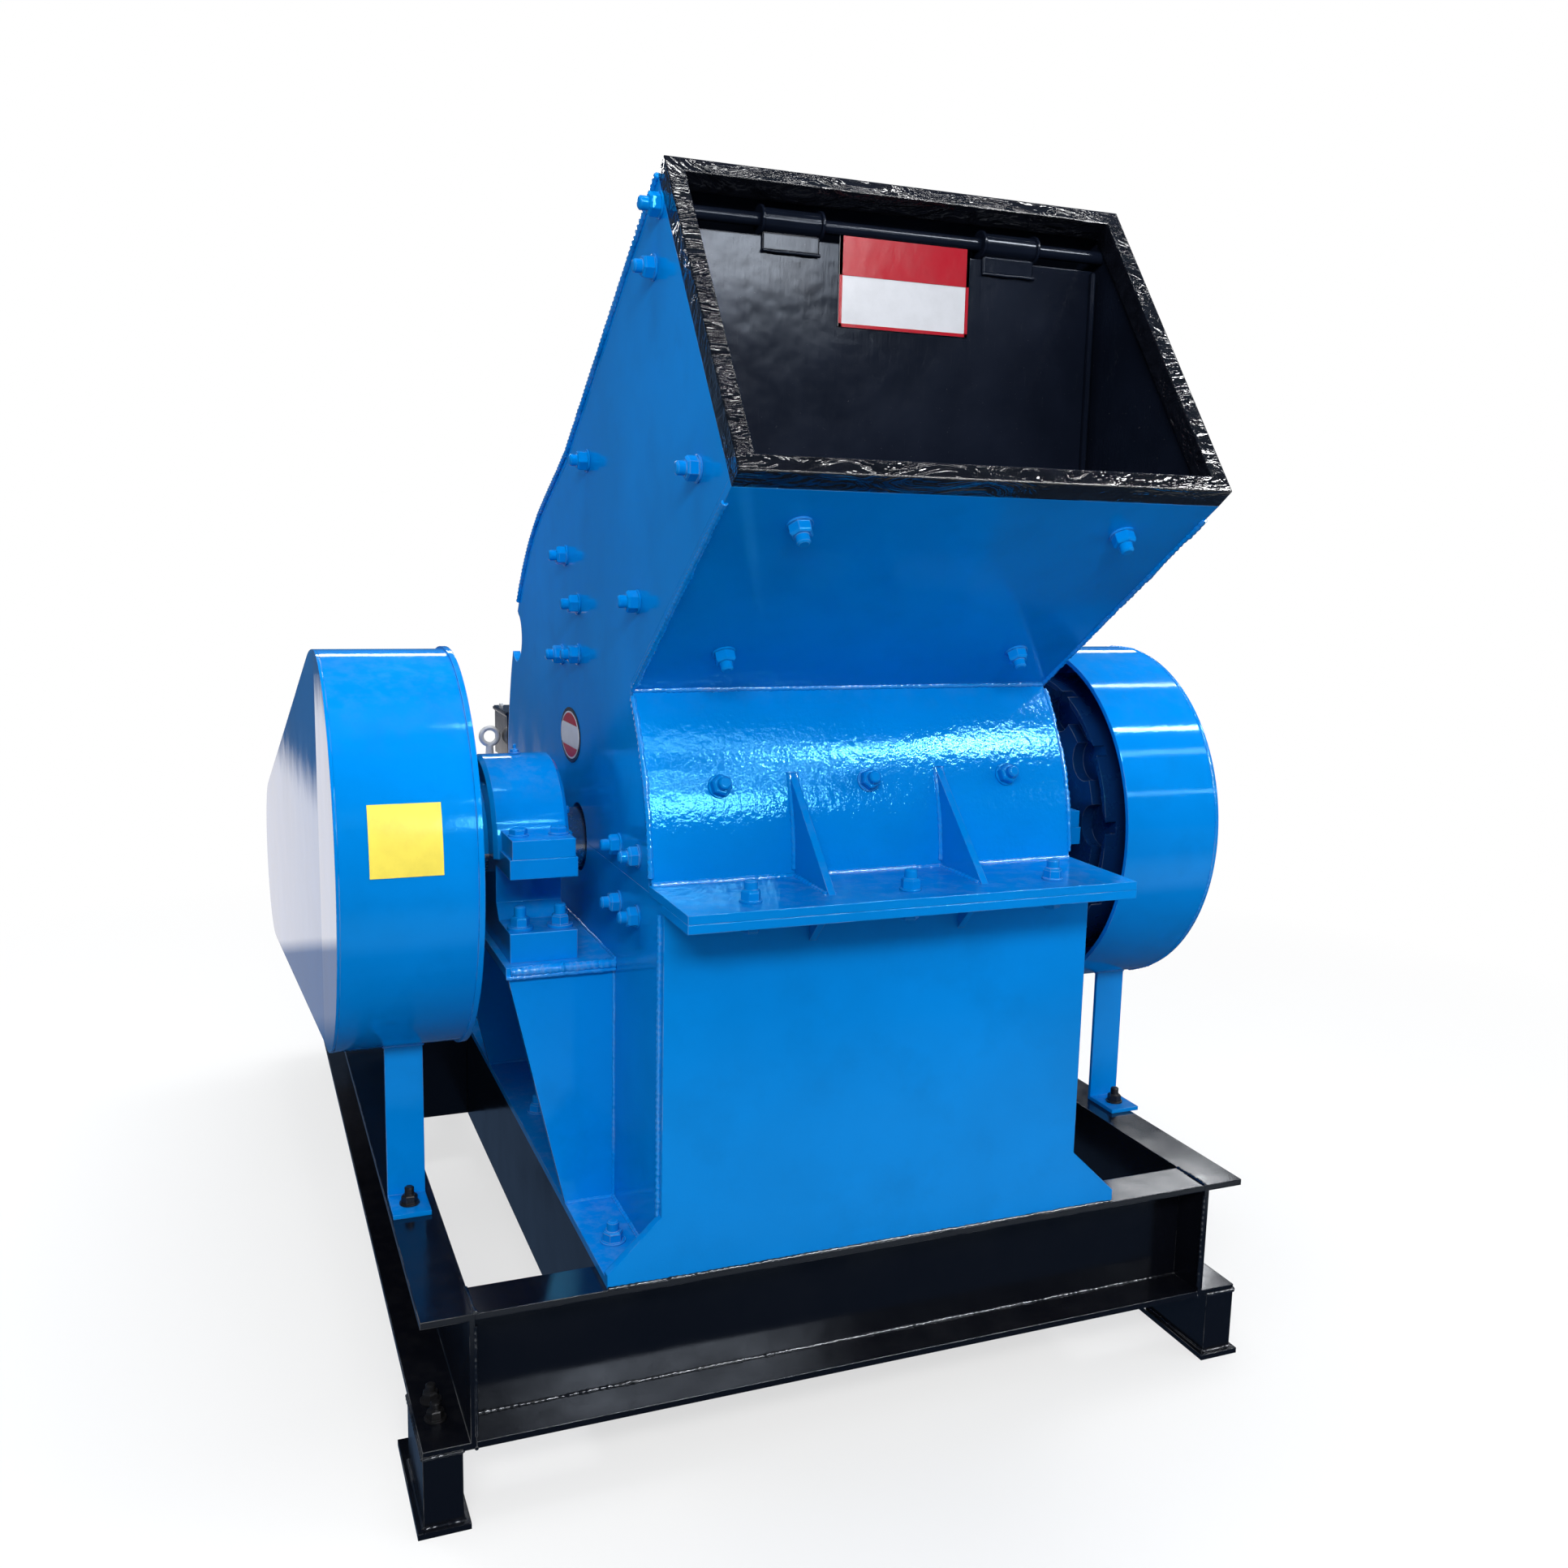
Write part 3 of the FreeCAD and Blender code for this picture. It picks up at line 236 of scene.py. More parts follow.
def wire(tree, shader, tone, shine, normal, coat=None):
    for value, key in ((tone, "Base Color"), (shine, "Roughness"), (normal, "Normal"),
                       (coat, "Coat Normal")):
        if value is not None:
            tree.links.new(value, shader.inputs[key])


def edges(tree, radius):
    """Rounded normals, and a mask of the edges that they round."""
    soft = add(tree, "ShaderNodeBevel", {"Radius": radius}, samples=6).outputs["Normal"]
    true = add(tree, "ShaderNodeNewGeometry").outputs["True Normal"]
    dot = add(tree, "ShaderNodeVectorMath", {0: soft, 1: true},
              operation="DOT_PRODUCT").outputs["Value"]
    return soft, spread(tree, dot, 0.995, 0.80)


def gloss_paint(name, colour, rough=0.09, peel=1.0, wave=1.0, dust=0.06, coat=0.0,
                tint=(0.13, 0.66, 1.0), brushed=0.0):
    """Gloss paint over plate: orange peel, slow waves, ridges, paler edges that are partly worn
    thin paint and partly a painted highlight, dust.
    """
    mat, tree, shader, where = finish(name, coat=coat, coat_rough=0.06, specular=0.42,
                                      tint=tint)
    soft, rim = edges(tree, 0.0025)
    broad = noise(tree, where, 2.2, 4.0, 0.55)
    cloud = noise(tree, where, 11.0, 5.0, 0.6)
    speck = noise(tree, where, 190.0, 2.0, 0.7)
    tone = mottled(tree, broad, 0.35, 0.68, colour, 0.86, 1.08)
    tone = flecked(tree, tone, cloud, 0.52, 0.75, 0.3, scaled(colour, 0.72))
    # edges paler in patches: paint worn thin there, and a painted edge highlight
    worn_and_highlit_edges = times(tree, rim, spread(tree, cloud, 0.45, 0.62))
    pale = tuple(0.35 + 0.4 * c for c in colour)
    tone = blended(tree, times(tree, worn_and_highlit_edges, 0.35), tone, pale)
    up = parts_of(tree, add(tree, "ShaderNodeNewGeometry").outputs["Normal"])["Z"]
    lying = times(tree, spread(tree, up, 0.55, 0.98),
                  spread(tree, noise(tree, where, 34.0, 6.0, 0.7), 0.45, 0.8))
    lying = times(tree, lying, dust * 2)
    tone = blended(tree, lying, tone, (0.42, 0.40, 0.37))
    shine = maths(tree, "ADD", spread(tree, cloud, 0.3, 0.8, rough * 0.7, rough * 1.5),
                  times(tree, lying, 0.5))
    normal = bump(tree, noise(tree, where, 7.0, 2.0, 0.4), 0.0035 * wave, 0.35, soft)
    normal = bump(tree, speck, 0.00022 * peel, 0.55, normal)
    if brushed:
        ridges = noise(tree, where, 75.0, 3.0, 0.6)
        normal = bump(tree, ridges, 0.0009 * brushed, 0.6, normal)
    wire(tree, shader, tone, shine, normal, bump(tree, speck, 0.00012 * peel, 0.4, soft))
    return mat


def wrinkled_paint(name, colour):
    """Thick brushed paint that has dried in wrinkles and runs."""
    mat, tree, shader, where = finish(name, coat=0.7, coat_rough=0.02, specular=0.12)
    soft, _ = edges(tree, 0.004)
    pull = add(tree, "ShaderNodeMapping", {
        "Vector": where, "Scale": (8.0, 20.0, 20.0)}).outputs["Vector"]
    folds = add(tree, "ShaderNodeTexNoise", {
        "Vector": pull, "Scale": 1.0, "Detail": 3.0, "Roughness": 0.55,
        "Distortion": 2.2}).outputs["Fac"]
    runs = noise(tree, where, 60.0, 3.0, 0.6)
    normal = bump(tree, folds, 0.0060, 0.8, soft)
    normal = bump(tree, runs, 0.0005, 0.5, normal)
    wire(tree, shader, mottled(tree, folds, 0.35, 0.7, colour, 0.7, 1.4),
         spread(tree, runs, 0.3, 0.7, 0.08, 0.20), normal, normal)
    return mat


def liner_paint(name, colour):
    """Bluish black paint of the flap: scuffed, with fine dust and scratches."""
    mat, tree, shader, where = finish(name, coat=0.02, coat_rough=0.08, specular=0.10,
                                      tint=(0.75, 0.85, 1.0))
    soft, _ = edges(tree, 0.003)
    broad = noise(tree, where, 4.0, 4.0, 0.6)
    scrape = add(tree, "ShaderNodeMapping", {
        "Vector": where, "Scale": (34.0, 6.0, 3.0),
        "Rotation": (0.0, 0.5, 0.3)}).outputs["Vector"]
    lines = noise(tree, scrape, 4.0, 6.0, 0.75)
    dust = noise(tree, where, 240.0, 3.0, 0.8)
    tone = mottled(tree, broad, 0.3, 0.7, colour, 0.7, 1.5)
    tone = flecked(tree, tone, lines, 0.62, 0.72, 0.07, (0.09, 0.095, 0.11))
    tone = flecked(tree, tone, dust, 0.70, 0.76, 0.35, (0.30, 0.30, 0.31))
    normal = bump(tree, broad, 0.006, 0.4, soft)
    wire(tree, shader, tone, spread(tree, broad, 0.3, 0.75, 0.11, 0.21),
         bump(tree, lines, 0.0004, 0.5, normal))
    return mat


def bare_metal(name, colour, rough, rings=0.0, pits=0.3, metallic=1.0):
    """Turned or cast metal: tool rings about the shaft line, or a cast skin."""
    mat, tree, shader, where = finish(name, metallic=metallic)
    soft, rim = edges(tree, 0.0015)
    skin = noise(tree, where, 90.0, 6.0, 0.7)
    stain = noise(tree, where, 9.0, 5.0, 0.6)
    tone = mottled(tree, stain, 0.4, 0.7, colour, 1.0, 0.55)
    tone = flecked(tree, tone, skin, 0.6, 0.75, 0.35, (0.075, 0.05, 0.035))
    # edges lighter: worn metal, and a painted edge highlight
    tone = blended(tree, times(tree, rim, 0.4), tone, scaled(colour, 1.6))
    normal = bump(tree, skin, 0.0006 * pits, 0.8, soft)
    if rings:
        turned = maths(tree, "SINE", times(tree, parts_of(tree, where)["X"], 4200.0))
        normal = bump(tree, turned, 0.00005 * rings, 0.5, normal)
    wire(tree, shader, tone, spread(tree, skin, 0.3, 0.7, rough * 0.8, rough * 1.3),
         normal)
    return mat


def rubber(name, colour):
    """Belt rubber with a woven back."""
    mat, tree, shader, where = finish(name, specular=0.3)
    split = parts_of(tree, where)
    weave = times(tree, *(maths(tree, "SINE", times(tree, split[axis], 3600.0))
                          for axis in "XY"))
    chalk = noise(tree, where, 28.0, 5.0, 0.7)
    tone = blended(tree, spread(tree, chalk, 0.45, 0.8), colour, (0.055, 0.053, 0.05))
    wire(tree, shader, tone, spread(tree, chalk, 0.3, 0.8, 0.55, 0.8),
         bump(tree, weave, 0.0002, 0.6))
    return mat


def enamel(name, colour, rough=0.2):
    """Printed vinyl or enamel of a blank plate, a little uneven."""
    mat, tree, shader, where = finish(name, coat=0.08, coat_rough=0.10, specular=0.15)
    cloud = noise(tree, where, 24.0, 4.0, 0.6)
    fleck = noise(tree, where, 420.0, 2.0, 0.6)
    tone = mottled(tree, cloud, 0.4, 0.75, colour, 1.0, 0.88)
    tone = flecked(tree, tone, fleck, 0.68, 0.75, 0.25, scaled(colour, 0.6))
    wire(tree, shader, tone, spread(tree, cloud, 0.3, 0.8, rough * 0.8, rough * 1.3),
         bump(tree, cloud, 0.0012, 0.4))
    return mat


FINISHES = {}
BLACK_TINT = (0.8, 0.88, 1.0)


def coat_of(key):
    """A finish by name, made once."""
    if key not in FINISHES:
        paints = bpy.context.scene.crusher_paints
        body, black = tuple(paints.body), tuple(paints.frame)
        bead = {"peel": 2.5, "wave": 0.2, "dust": 0.0}
        make, name, colour, values = {
            "body": (gloss_paint, "Azure gloss paint", body, {}),
            # the bead's paint is five percent paler than the body's: a painted highlight on the
            # welds
            "bead": (gloss_paint, "Painted weld bead", scaled(body, 1.05),
                     dict(bead, rough=0.07, coat=1.0)),
            "arc": (gloss_paint, "Azure brushed paint", body,
                    dict(rough=0.08, wave=0.8, brushed=1.6)),
            "cover": (gloss_paint, "Azure cover paint", body,
                      dict(rough=0.05, wave=0.3, peel=0.12, dust=0.0)),
            "guard": (gloss_paint, "Azure guard paint", body,
                      dict(rough=0.07, wave=0.5, peel=0.7, dust=0.03)),
            "frame": (gloss_paint, "Black gloss paint", black,
                      dict(rough=0.16, peel=0.35, dust=0.006, tint=BLACK_TINT)),
            "black_bead": (gloss_paint, "Black weld bead", black,
                           dict(bead, rough=0.12, coat=0.5, tint=BLACK_TINT)),
            "rim": (wrinkled_paint, "Wrinkled black paint", black, {}),
            "flap": (liner_paint, "Bluish black paint", (0.0040, 0.0060, 0.0125), {}),
            # the wheels' navy holds painted shade: the guards' shadow darkens it beyond the
            # paint's own tone
            "wheel": (gloss_paint, "Navy wheel paint", tuple(paints.wheel),
                      dict(rough=0.28, dust=0.0)),
            "turned": (bare_metal, "Turned steel", (0.62, 0.61, 0.60),
                       dict(rough=0.24, rings=1.0)),
            "cast": (bare_metal, "Cast manganese steel", (0.20, 0.195, 0.19),
                     dict(rough=0.5, pits=1.0)),
            "zinc": (bare_metal, "Zinc plating", (0.62, 0.63, 0.64),
                     dict(rough=0.34, pits=0.4, metallic=0.35)),
            "dark_bolt": (bare_metal, "Blackened bolt", (0.035, 0.035, 0.038),
                          dict(rough=0.38, pits=0.6, metallic=0.7)),
            "belt": (rubber, "Belt rubber", (0.012, 0.012, 0.013), {}),
            "plate": (enamel, "Pale plate enamel", tuple(paints.plate), {}),
            "edge": (enamel, "Red border enamel", tuple(paints.edge), {}),
            "yellow": (enamel, "Yellow plate enamel", tuple(paints.guard_plate), {}),
            "dark": (enamel, "Dark enamel", (0.012, 0.012, 0.014), {}),
        }[key]
        FINISHES[key] = make(name, colour, **values)
    return FINISHES[key]


# Mesh helpers

def crisp(mesh, angle=34.0):
    """Smooth shading with sharp edges over an angle."""
    mesh.polygons.foreach_set("use_smooth", [True] * len(mesh.polygons))
    mesh.set_sharp_from_angle(angle=math.radians(angle))
    return mesh


def piece(name, mesh, key, body="root"):
    """A finished piece, at the origin, riding on its body."""
    obj = bpy.data.objects.new(name, mesh)
    bpy.context.scene.collection.objects.link(obj)
    if not mesh.materials:
        mesh.materials.append(coat_of(key))
    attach(obj, body)
    return obj


def from_bmesh(name, bm, angle=34.0):
    mesh = bpy.data.meshes.new(name)
    bmesh.ops.recalc_face_normals(bm, faces=bm.faces)
    bm.to_mesh(mesh)
    bm.free()
    return crisp(mesh, angle)


def solid(name, bm, key, body="root", angle=34.0):
    return piece(name, from_bmesh(name, bm, angle), key, body)


def slab(bm, centre, sizes, bevel=0.0, axes=((1, 0, 0), (0, 1, 0), UPWARD)):
    """A box with rounded edges; axes are its three directions."""
    part = bmesh.new()
    bmesh.ops.create_cube(part, size=1.0)
    for v in part.verts:
        v.co = Vector(v.co[i] * sizes[i] for i in range(3))
    if bevel:
        bmesh.ops.bevel(part, geom=list(part.edges), offset=bevel, segments=2,
                        affect="EDGES", clamp_overlap=True)
    turn = Matrix([list(a) for a in axes]).transposed()
    for v in part.verts:
        v.co = turn @ v.co + Vector(centre)
    join(bm, part)


def join(bm, part):
    mesh = bpy.data.meshes.new("part")
    part.to_mesh(mesh)
    part.free()
    bm.from_mesh(mesh)
    bpy.data.meshes.remove(mesh)


def wrapped(bm, one, two):
    """Faces between two closed rings."""
    for k in range(len(one)):
        j = (k + 1) % len(one)
        bm.faces.new((one[k], two[k], two[j], one[j]))


def lathe(bm, base, along, profile, steps=48):
    """A closed turning: profile is (distance along, radius) points, ends at radius 0."""
    along = Vector(along).normalized()
    side = along.orthogonal().normalized()
    other = along.cross(side)
    rings = []
    for dist, radius in profile:
        centre = Vector(base) + along * dist
        if radius < 1e-6:
            rings.append([bm.verts.new(centre)])
            continue
        turns = (2 * math.pi * k / steps for k in range(steps))
        rings.append([bm.verts.new(
            centre + (side * math.cos(t) + other * math.sin(t)) * radius) for t in turns])
    for one, two in zip(rings, rings[1:]):
        if len(one) == len(two) == steps:
            wrapped(bm, one, two)
            continue
        for k in range(max(len(one), len(two)) if len(one) != len(two) else 0):
            j = (k + 1) % steps
            bm.faces.new((one[0], two[k], two[j]) if len(one) == 1
                         else (one[k], two[0], one[j]))


# Geometry Nodes: nuts on their studs, and weld beads along lines

def new_tree(name, floats, whole, least=None):
    """A node tree with its named inputs, and their sockets."""
    tree = bpy.data.node_groups.new(name, "GeometryNodeTree")

    def socket(key, kind, in_out="INPUT"):
        return tree.interface.new_socket(key, in_out=in_out, socket_type="NodeSocket" + kind)

    socket("Geometry", "Geometry")
    for key, value in floats.items():
        item = socket(key, "Float")
        item.default_value, item.min_value = value, 0.0
    item = socket(whole[0], "Int")
    item.default_value = whole[1]
    if least is not None:
        item.min_value = least
    socket("Material", "Material")
    socket("Geometry", "Geometry", "OUTPUT")
    return tree, add(tree, "NodeGroupInput").outputs


def close_tree(tree, source, shape):
    """Makes a tree's shape real and gives it its material."""
    real = add(tree, "GeometryNodeRealizeInstances", {"Geometry": shape}).outputs[0]
    painted = add(tree, "GeometryNodeSetMaterial", {
        "Geometry": real, "Material": source["Material"]}).outputs[0]
    add(tree, "NodeGroupOutput", {0: painted})
    return tree


# a hexagon's corner radius, as a share of its width across flats
HEX_CORNER = 0.57735


def nut_tree():
    """Puts a washer, a nut and a stud tip on each point of a mesh."""
    tree = bpy.data.node_groups.get("Nuts on points")
    if tree:
        return tree
    tree, source = new_tree("Nuts on points", {
        "Across Flats": 0.03, "Nut Height": 0.016, "Washer Radius": 0.019,
        "Washer Thickness": 0.003, "Stud Radius": 0.01, "Stud Tip": 0.01}, ("Sides", 6), 3)

    def sum_of(a, b):
        return maths(tree, "ADD", a, b)

    def part_of(name, share):
        return times(tree, source[name], share)

    def raised(kind, z, sides, depth, radii):
        mesh = add(tree, "GeometryNodeMesh" + kind, {
            "Vertices": sides, "Depth": depth, **radii}).outputs["Mesh"]
        at = add(tree, "ShaderNodeCombineXYZ", {"Z": z}).outputs[0]
        return add(tree, "GeometryNodeTransform", {
            "Geometry": mesh, "Translation": at}).outputs[0]

    def cylinder(z, sides, radius, depth):
        return raised("Cylinder", z, sides, depth, {"Radius": radius})

    def cone(z, sides, bottom, top, depth):
        return raised("Cone", z, sides, depth, {"Radius Bottom": bottom, "Radius Top": top})

    sides, thick, tall = source["Sides"], source["Washer Thickness"], source["Nut Height"]
    rod, tip = source["Stud Radius"], source["Stud Tip"]
    corner, top = part_of("Across Flats", HEX_CORNER), sum_of(thick, tall)
    washer = cylinder(times(tree, thick, 0.5), 28, source["Washer Radius"], thick)
    prism = cylinder(sum_of(thick, times(tree, tall, 0.40)), sides, corner,
                     times(tree, tall, 0.80))
    chamfer = cone(sum_of(thick, times(tree, tall, 0.80)), sides, corner,
                   part_of("Across Flats", 0.485), times(tree, tall, 0.20))
    stud = cylinder(sum_of(top, sum_of(part_of("Stud Tip", 0.5), -0.002)), 20, rod,
                    sum_of(tip, 0.004))
    end = cone(sum_of(top, tip), 20, rod, part_of("Stud Radius", 0.72),
               part_of("Stud Radius", 0.25))
    parts = add(tree, "GeometryNodeJoinGeometry")
    for part in (end, stud, chamfer, prism, washer):
        tree.links.new(part, parts.inputs[0])
    facing = add(tree, "GeometryNodeInputNamedAttribute", {"Name": "facing"},
                 data_type="FLOAT_VECTOR").outputs["Attribute"]
    turn = add(tree, "GeometryNodeInputNamedAttribute", {"Name": "turn"},
               data_type="FLOAT").outputs["Attribute"]
    spin = add(tree, "FunctionNodeAxisAngleToRotation", {
        "Axis": (0.0, 0.0, 1.0), "Angle": turn}).outputs["Rotation"]
    aim = add(tree, "FunctionNodeAlignRotationToVector", {
        "Rotation": spin, "Vector": facing}, axis="Z").outputs["Rotation"]
    placed = add(tree, "GeometryNodeInstanceOnPoints", {
        "Points": source["Geometry"], "Instance": parts.outputs[0],
        "Rotation": aim}).outputs[0]
    return close_tree(tree, source, placed)


def bead_tree():
    """Lays a rippled, slightly uneven bead along the edges of a mesh."""
    tree = bpy.data.node_groups.get("Bead along lines")
    if tree:
        return tree
    tree, source = new_tree("Bead along lines", {
        "Radius": 0.005, "Ripple Pitch": 0.011, "Unevenness": 0.0012}, ("Seed", 4))
    curve = add(tree, "GeometryNodeMeshToCurve", {"Mesh": source["Geometry"]}).outputs[0]
    curve = add(tree, "GeometryNodeResampleCurve", {
        "Curve": curve, "Length": times(tree, source["Ripple Pitch"], 0.34)},
        mode="LENGTH").outputs[0]
    where = add(tree, "GeometryNodeInputPosition").outputs[0]
    wobble = add(tree, "ShaderNodeTexNoise", {
        "Vector": where, "W": times(tree, source["Seed"], 1.7),
        "Scale": 42.0, "Detail": 2.0}, noise_dimensions="4D")
    shift = add(tree, "ShaderNodeVectorMath", {
        0: wobble.outputs["Color"], 1: (0.5, 0.5, 0.5)}, operation="SUBTRACT").outputs[0]
    amount = times(tree, source["Unevenness"], 3.0)
    shift = add(tree, "ShaderNodeVectorMath", {0: shift, "Scale": amount},
                operation="SCALE").outputs[0]
    curve = add(tree, "GeometryNodeSetPosition", {
        "Geometry": curve, "Offset": shift}).outputs[0]
    run = add(tree, "GeometryNodeSplineParameter").outputs["Length"]
    phase = times(tree, maths(tree, "DIVIDE", run, source["Ripple Pitch"]), 6.2832)
    ripple = times(tree, maths(tree, "SINE", phase), 0.16)
    uneven = times(tree, maths(tree, "SUBTRACT", wobble.outputs["Fac"], 0.5), 0.9)
    width = times(tree, source["Radius"],
                  maths(tree, "ADD", maths(tree, "ADD", ripple, uneven), 1.0))
    curve = add(tree, "GeometryNodeSetCurveRadius", {
        "Curve": curve, "Radius": width}).outputs[0]
    ring = add(tree, "GeometryNodeCurvePrimitiveCircle", {
        "Resolution": 7, "Radius": 1.0}).outputs[0]
    sweep = add(tree, "GeometryNodeCurveToMesh", {
        "Curve": curve, "Profile Curve": ring, "Fill Caps": True})
    if "Scale" in sweep.inputs:
        tree.links.new(add(tree, "GeometryNodeInputRadius").outputs[0], sweep.inputs["Scale"])
    return close_tree(tree, source, sweep.outputs[0])


def grown(name, mesh, tree, values, angle=34.0):
    """The mesh that a node tree makes from another, with no modifier left."""
    obj = bpy.data.objects.new(name + "_source", mesh)
    bpy.context.scene.collection.objects.link(obj)
    mod = obj.modifiers.new("grow", "NODES")
    mod.node_group = tree
    for item in tree.interface.items_tree:
        if item.item_type == "SOCKET" and item.in_out == "INPUT" and item.name in values:
            mod[item.identifier] = values[item.name]
    graph = bpy.context.evaluated_depsgraph_get()
    result = bpy.data.meshes.new_from_object(obj.evaluated_get(graph))
    result.name = name
    bpy.data.objects.remove(obj)
    if not result.polygons:
        raise RuntimeError(name + " made no faces")
    return crisp(result, angle)


HEAD = {"stud": 0.0005, "tip": 0.0005}


def nuts(name, rows, key="body", slot="blue_paint", flats=None, height=None,
         washer=None, thick=0.003, stud=None, tip=None):
    """Nuts at (point, direction) rows, each turned a little differently."""
    own = bpy.context.scene.crusher_fasteners
    flats = flats or own.flats
    mesh = bpy.data.meshes.new(name)
    mesh.from_pydata([tuple(row[0]) for row in rows], [], [])
    ways = [c for row in rows for c in Vector(row[1]).normalized()]
    turns = [0.35 * math.sin(i * 7.3) for i in range(len(rows))]
    mesh.attributes.new("facing", "FLOAT_VECTOR", "POINT").data.foreach_set("vector", ways)
    mesh.attributes.new("turn", "FLOAT", "POINT").data.foreach_set("value", turns)
    values = {
        "Across Flats": flats, "Nut Height": height or own.height,
        "Washer Radius": washer or flats * 0.64, "Washer Thickness": thick,
        "Stud Radius": stud or own.stud, "Stud Tip": tip or own.tip,
        "Sides": 6, "Material": coat_of(key)}
    return piece(name, grown(name, mesh, nut_tree(), values), key)


def beads(name, lines, key="bead", body="root", radius=None):
    """Weld beads along polylines."""
    own = bpy.context.scene.crusher_welds
    verts, links = [], []
    for line in lines:
        start = len(verts)
        verts += [tuple(p) for p in line]
        links += [(k, k + 1) for k in range(start, len(verts) - 1)]
    mesh = bpy.data.meshes.new(name)
    mesh.from_pydata(verts, links, [])
    values = {"Radius": radius or own.radius, "Ripple Pitch": own.pitch,
              "Seed": own.seed, "Material": coat_of(key)}
    return piece(name, grown(name, mesh, bead_tree(), values, 60.0), key, body)


def around(radius, degrees, x=0.0, rear=False):
    """A point at an angle above the horizontal about the rotor's axis."""
    y = radius * math.cos(math.radians(degrees))
    return Vector((x, AXIS.y + (y if rear else -y),
                   AXIS.z + radius * math.sin(math.radians(degrees))))


def outward(degrees, rear=False):
    c, s = math.cos(math.radians(degrees)), math.sin(math.radians(degrees))
    return Vector((0.0, c if rear else -c, s))


# Main lines of the casing, from the frame's boxes
FLANGE = 0.014
SIDE_PLATE = 0.016
FLANGE_TOP = low("upper_split_flange").z + FLANGE
SPLIT = AXIS.z
SPLIT_UNDER = SPLIT - FLANGE
ARC = 0.471
COVER_RADIUS = 0.668
DOOR_RADIUS = 0.652
SEAM = 40.3
RIM_DEPTH = 0.034
MOUTH_LOW = Vector((0.0, low("hopper_rim").y, 1.575))
MOUTH_TOP = Vector((0.0, AXIS.y - 0.506, high("hopper_rim").z))
UP = (MOUTH_TOP - MOUTH_LOW).normalized()
BACK = Vector((0.0, UP.z, -UP.y))
SEAM_AT = around(ARC, SEAM)
LOW_EDGE = MOUTH_LOW + BACK * RIM_DEPTH
TOP_EDGE = MOUTH_TOP + BACK * RIM_DEPTH
CHUTE = (LOW_EDGE - SEAM_AT).normalized()
CHUTE_OUT = Vector((0.0, CHUTE.z * -1.0, CHUTE.y))
KINK = Vector((0.0, AXIS.y + 0.085, AXIS.z + 0.693))
CHUTE_DOWN = (KINK - TOP_EDGE).normalized()
CHUTE_LIFT = Vector((0.0, -CHUTE_DOWN.z, CHUTE_DOWN.y))
KNUCKLES = (-0.182, 0.182)
GUARD_RADIUS = 0.346

BLACK_NODES = ("base_side_beam_left", "base_side_beam_right", "base_front_beam",
               "base_rear_beam", "base_inner_beam_left", "base_inner_beam_right",
               "base_cross_beam", "base_feet", "motor_rail_front", "motor_rail_back",
               "motor_terminal_box")
OTHER_NODES = {
    "hopper_rim": "rim", "feed_flap": "flap", "flap_hinge_bar": "flap",
    "upper_front_arc": "arc", "belt_guard_rim": "guard", "belt_guard_outer_plate": "cover",
    "flywheel_guard": "guard",
    "flywheel": "wheel", "drive_pulley": "wheel", "motor_pulley": "wheel",
    "rotor_shaft": "turned", "hammer_pins": "turned", "rotor_discs": "cast",
    "hammer_row_1": "cast", "hammer_row_2": "cast", "hammer_row_3": "cast",
    "hammer_row_4": "cast", "grate": "cast", "side_liners": "cast", "v_belts": "belt"}


class CRUSHER_OT_paints(bpy.types.Operator):
    """Paint every packed node with its finish"""

    bl_idname = "crusher.paints"
    bl_label = "Paint the packed nodes"

    def execute(self, context):
        for name, obj in NODES.items():
            key = OTHER_NODES.get(name, "frame" if name in BLACK_NODES else "body")
            obj.data.materials.clear()
            obj.data.materials.append(coat_of(key))
        return {"FINISHED"}


SIDE_NUTS = ((-1.000, 1.957), (-0.972, 1.877), (-0.579, 1.624), (-1.184, 1.583),
             (-0.416, 1.461), (-0.511, 1.376), (-0.896, 1.395), (-0.387, 1.277),
             (-0.511, 1.286))
SPLICE_NUTS = ((-0.794, 0.992), (-0.907, 0.995), (-0.795, 0.895), (-0.904, 0.896),
               (0.040, 0.992), (0.135, 0.992), (0.040, 0.895), (0.135, 0.895))


class CRUSHER_OT_casing_nuts(bpy.types.Operator):
    """Put the nuts of the liners, seams and flanges on the casing"""

    bl_idname = "crusher.casing_nuts"
    bl_label = "Casing nuts"

    def execute(self, context):
        rows = [((side * CASE, y, z), (side, 0, 0))
                for side in SIDES for y, z in SIDE_NUTS + SPLICE_NUTS]
        for start, way, out, places in (
                (SEAM_AT, CHUTE, CHUTE_OUT, ((0.463, 0.256), (0.119, 0.259))),
                (TOP_EDGE, CHUTE_DOWN, CHUTE_LIFT, ((0.12, 0.256), (0.54, 0.256)))):
            for along, x in places:
                at = start + way * along
                rows += [((side * x, at.y, at.z), out) for side in SIDES]
        for x in (-0.258, 0.0, 0.258):
            for radius, angle, rear in ((ARC, 19.8, False), (COVER_RADIUS, 52.0, True),
                                        (DOOR_RADIUS, 13.0, True)):
                rows.append((around(radius, angle, x, rear), outward(angle, rear)))
        nuts("casing_nuts", rows)
        spots = [(x, y) for x in (-0.265, -0.001, 0.255) for y in (-1.120, 0.215)]
        nuts("flange_nuts", [((x, y, FLANGE_TOP), UPWARD) for x, y in spots],
             flats=0.027, tip=0.012)
        nuts("flange_heads", [((x, y, SPLIT_UNDER), (0, 0, -1)) for x, y in spots],
             flats=0.027, **HEAD)
        base = low("lower_side_left").z + FLANGE
        rows = [((side * 0.420, y, base), UPWARD)
                for side in SIDES for y in (-0.923, -0.675, -0.345, 0.0, 0.215)]
        nuts("base_nuts", rows, flats=0.030, washer=0.021, tip=0.014)
        return {"FINISHED"}


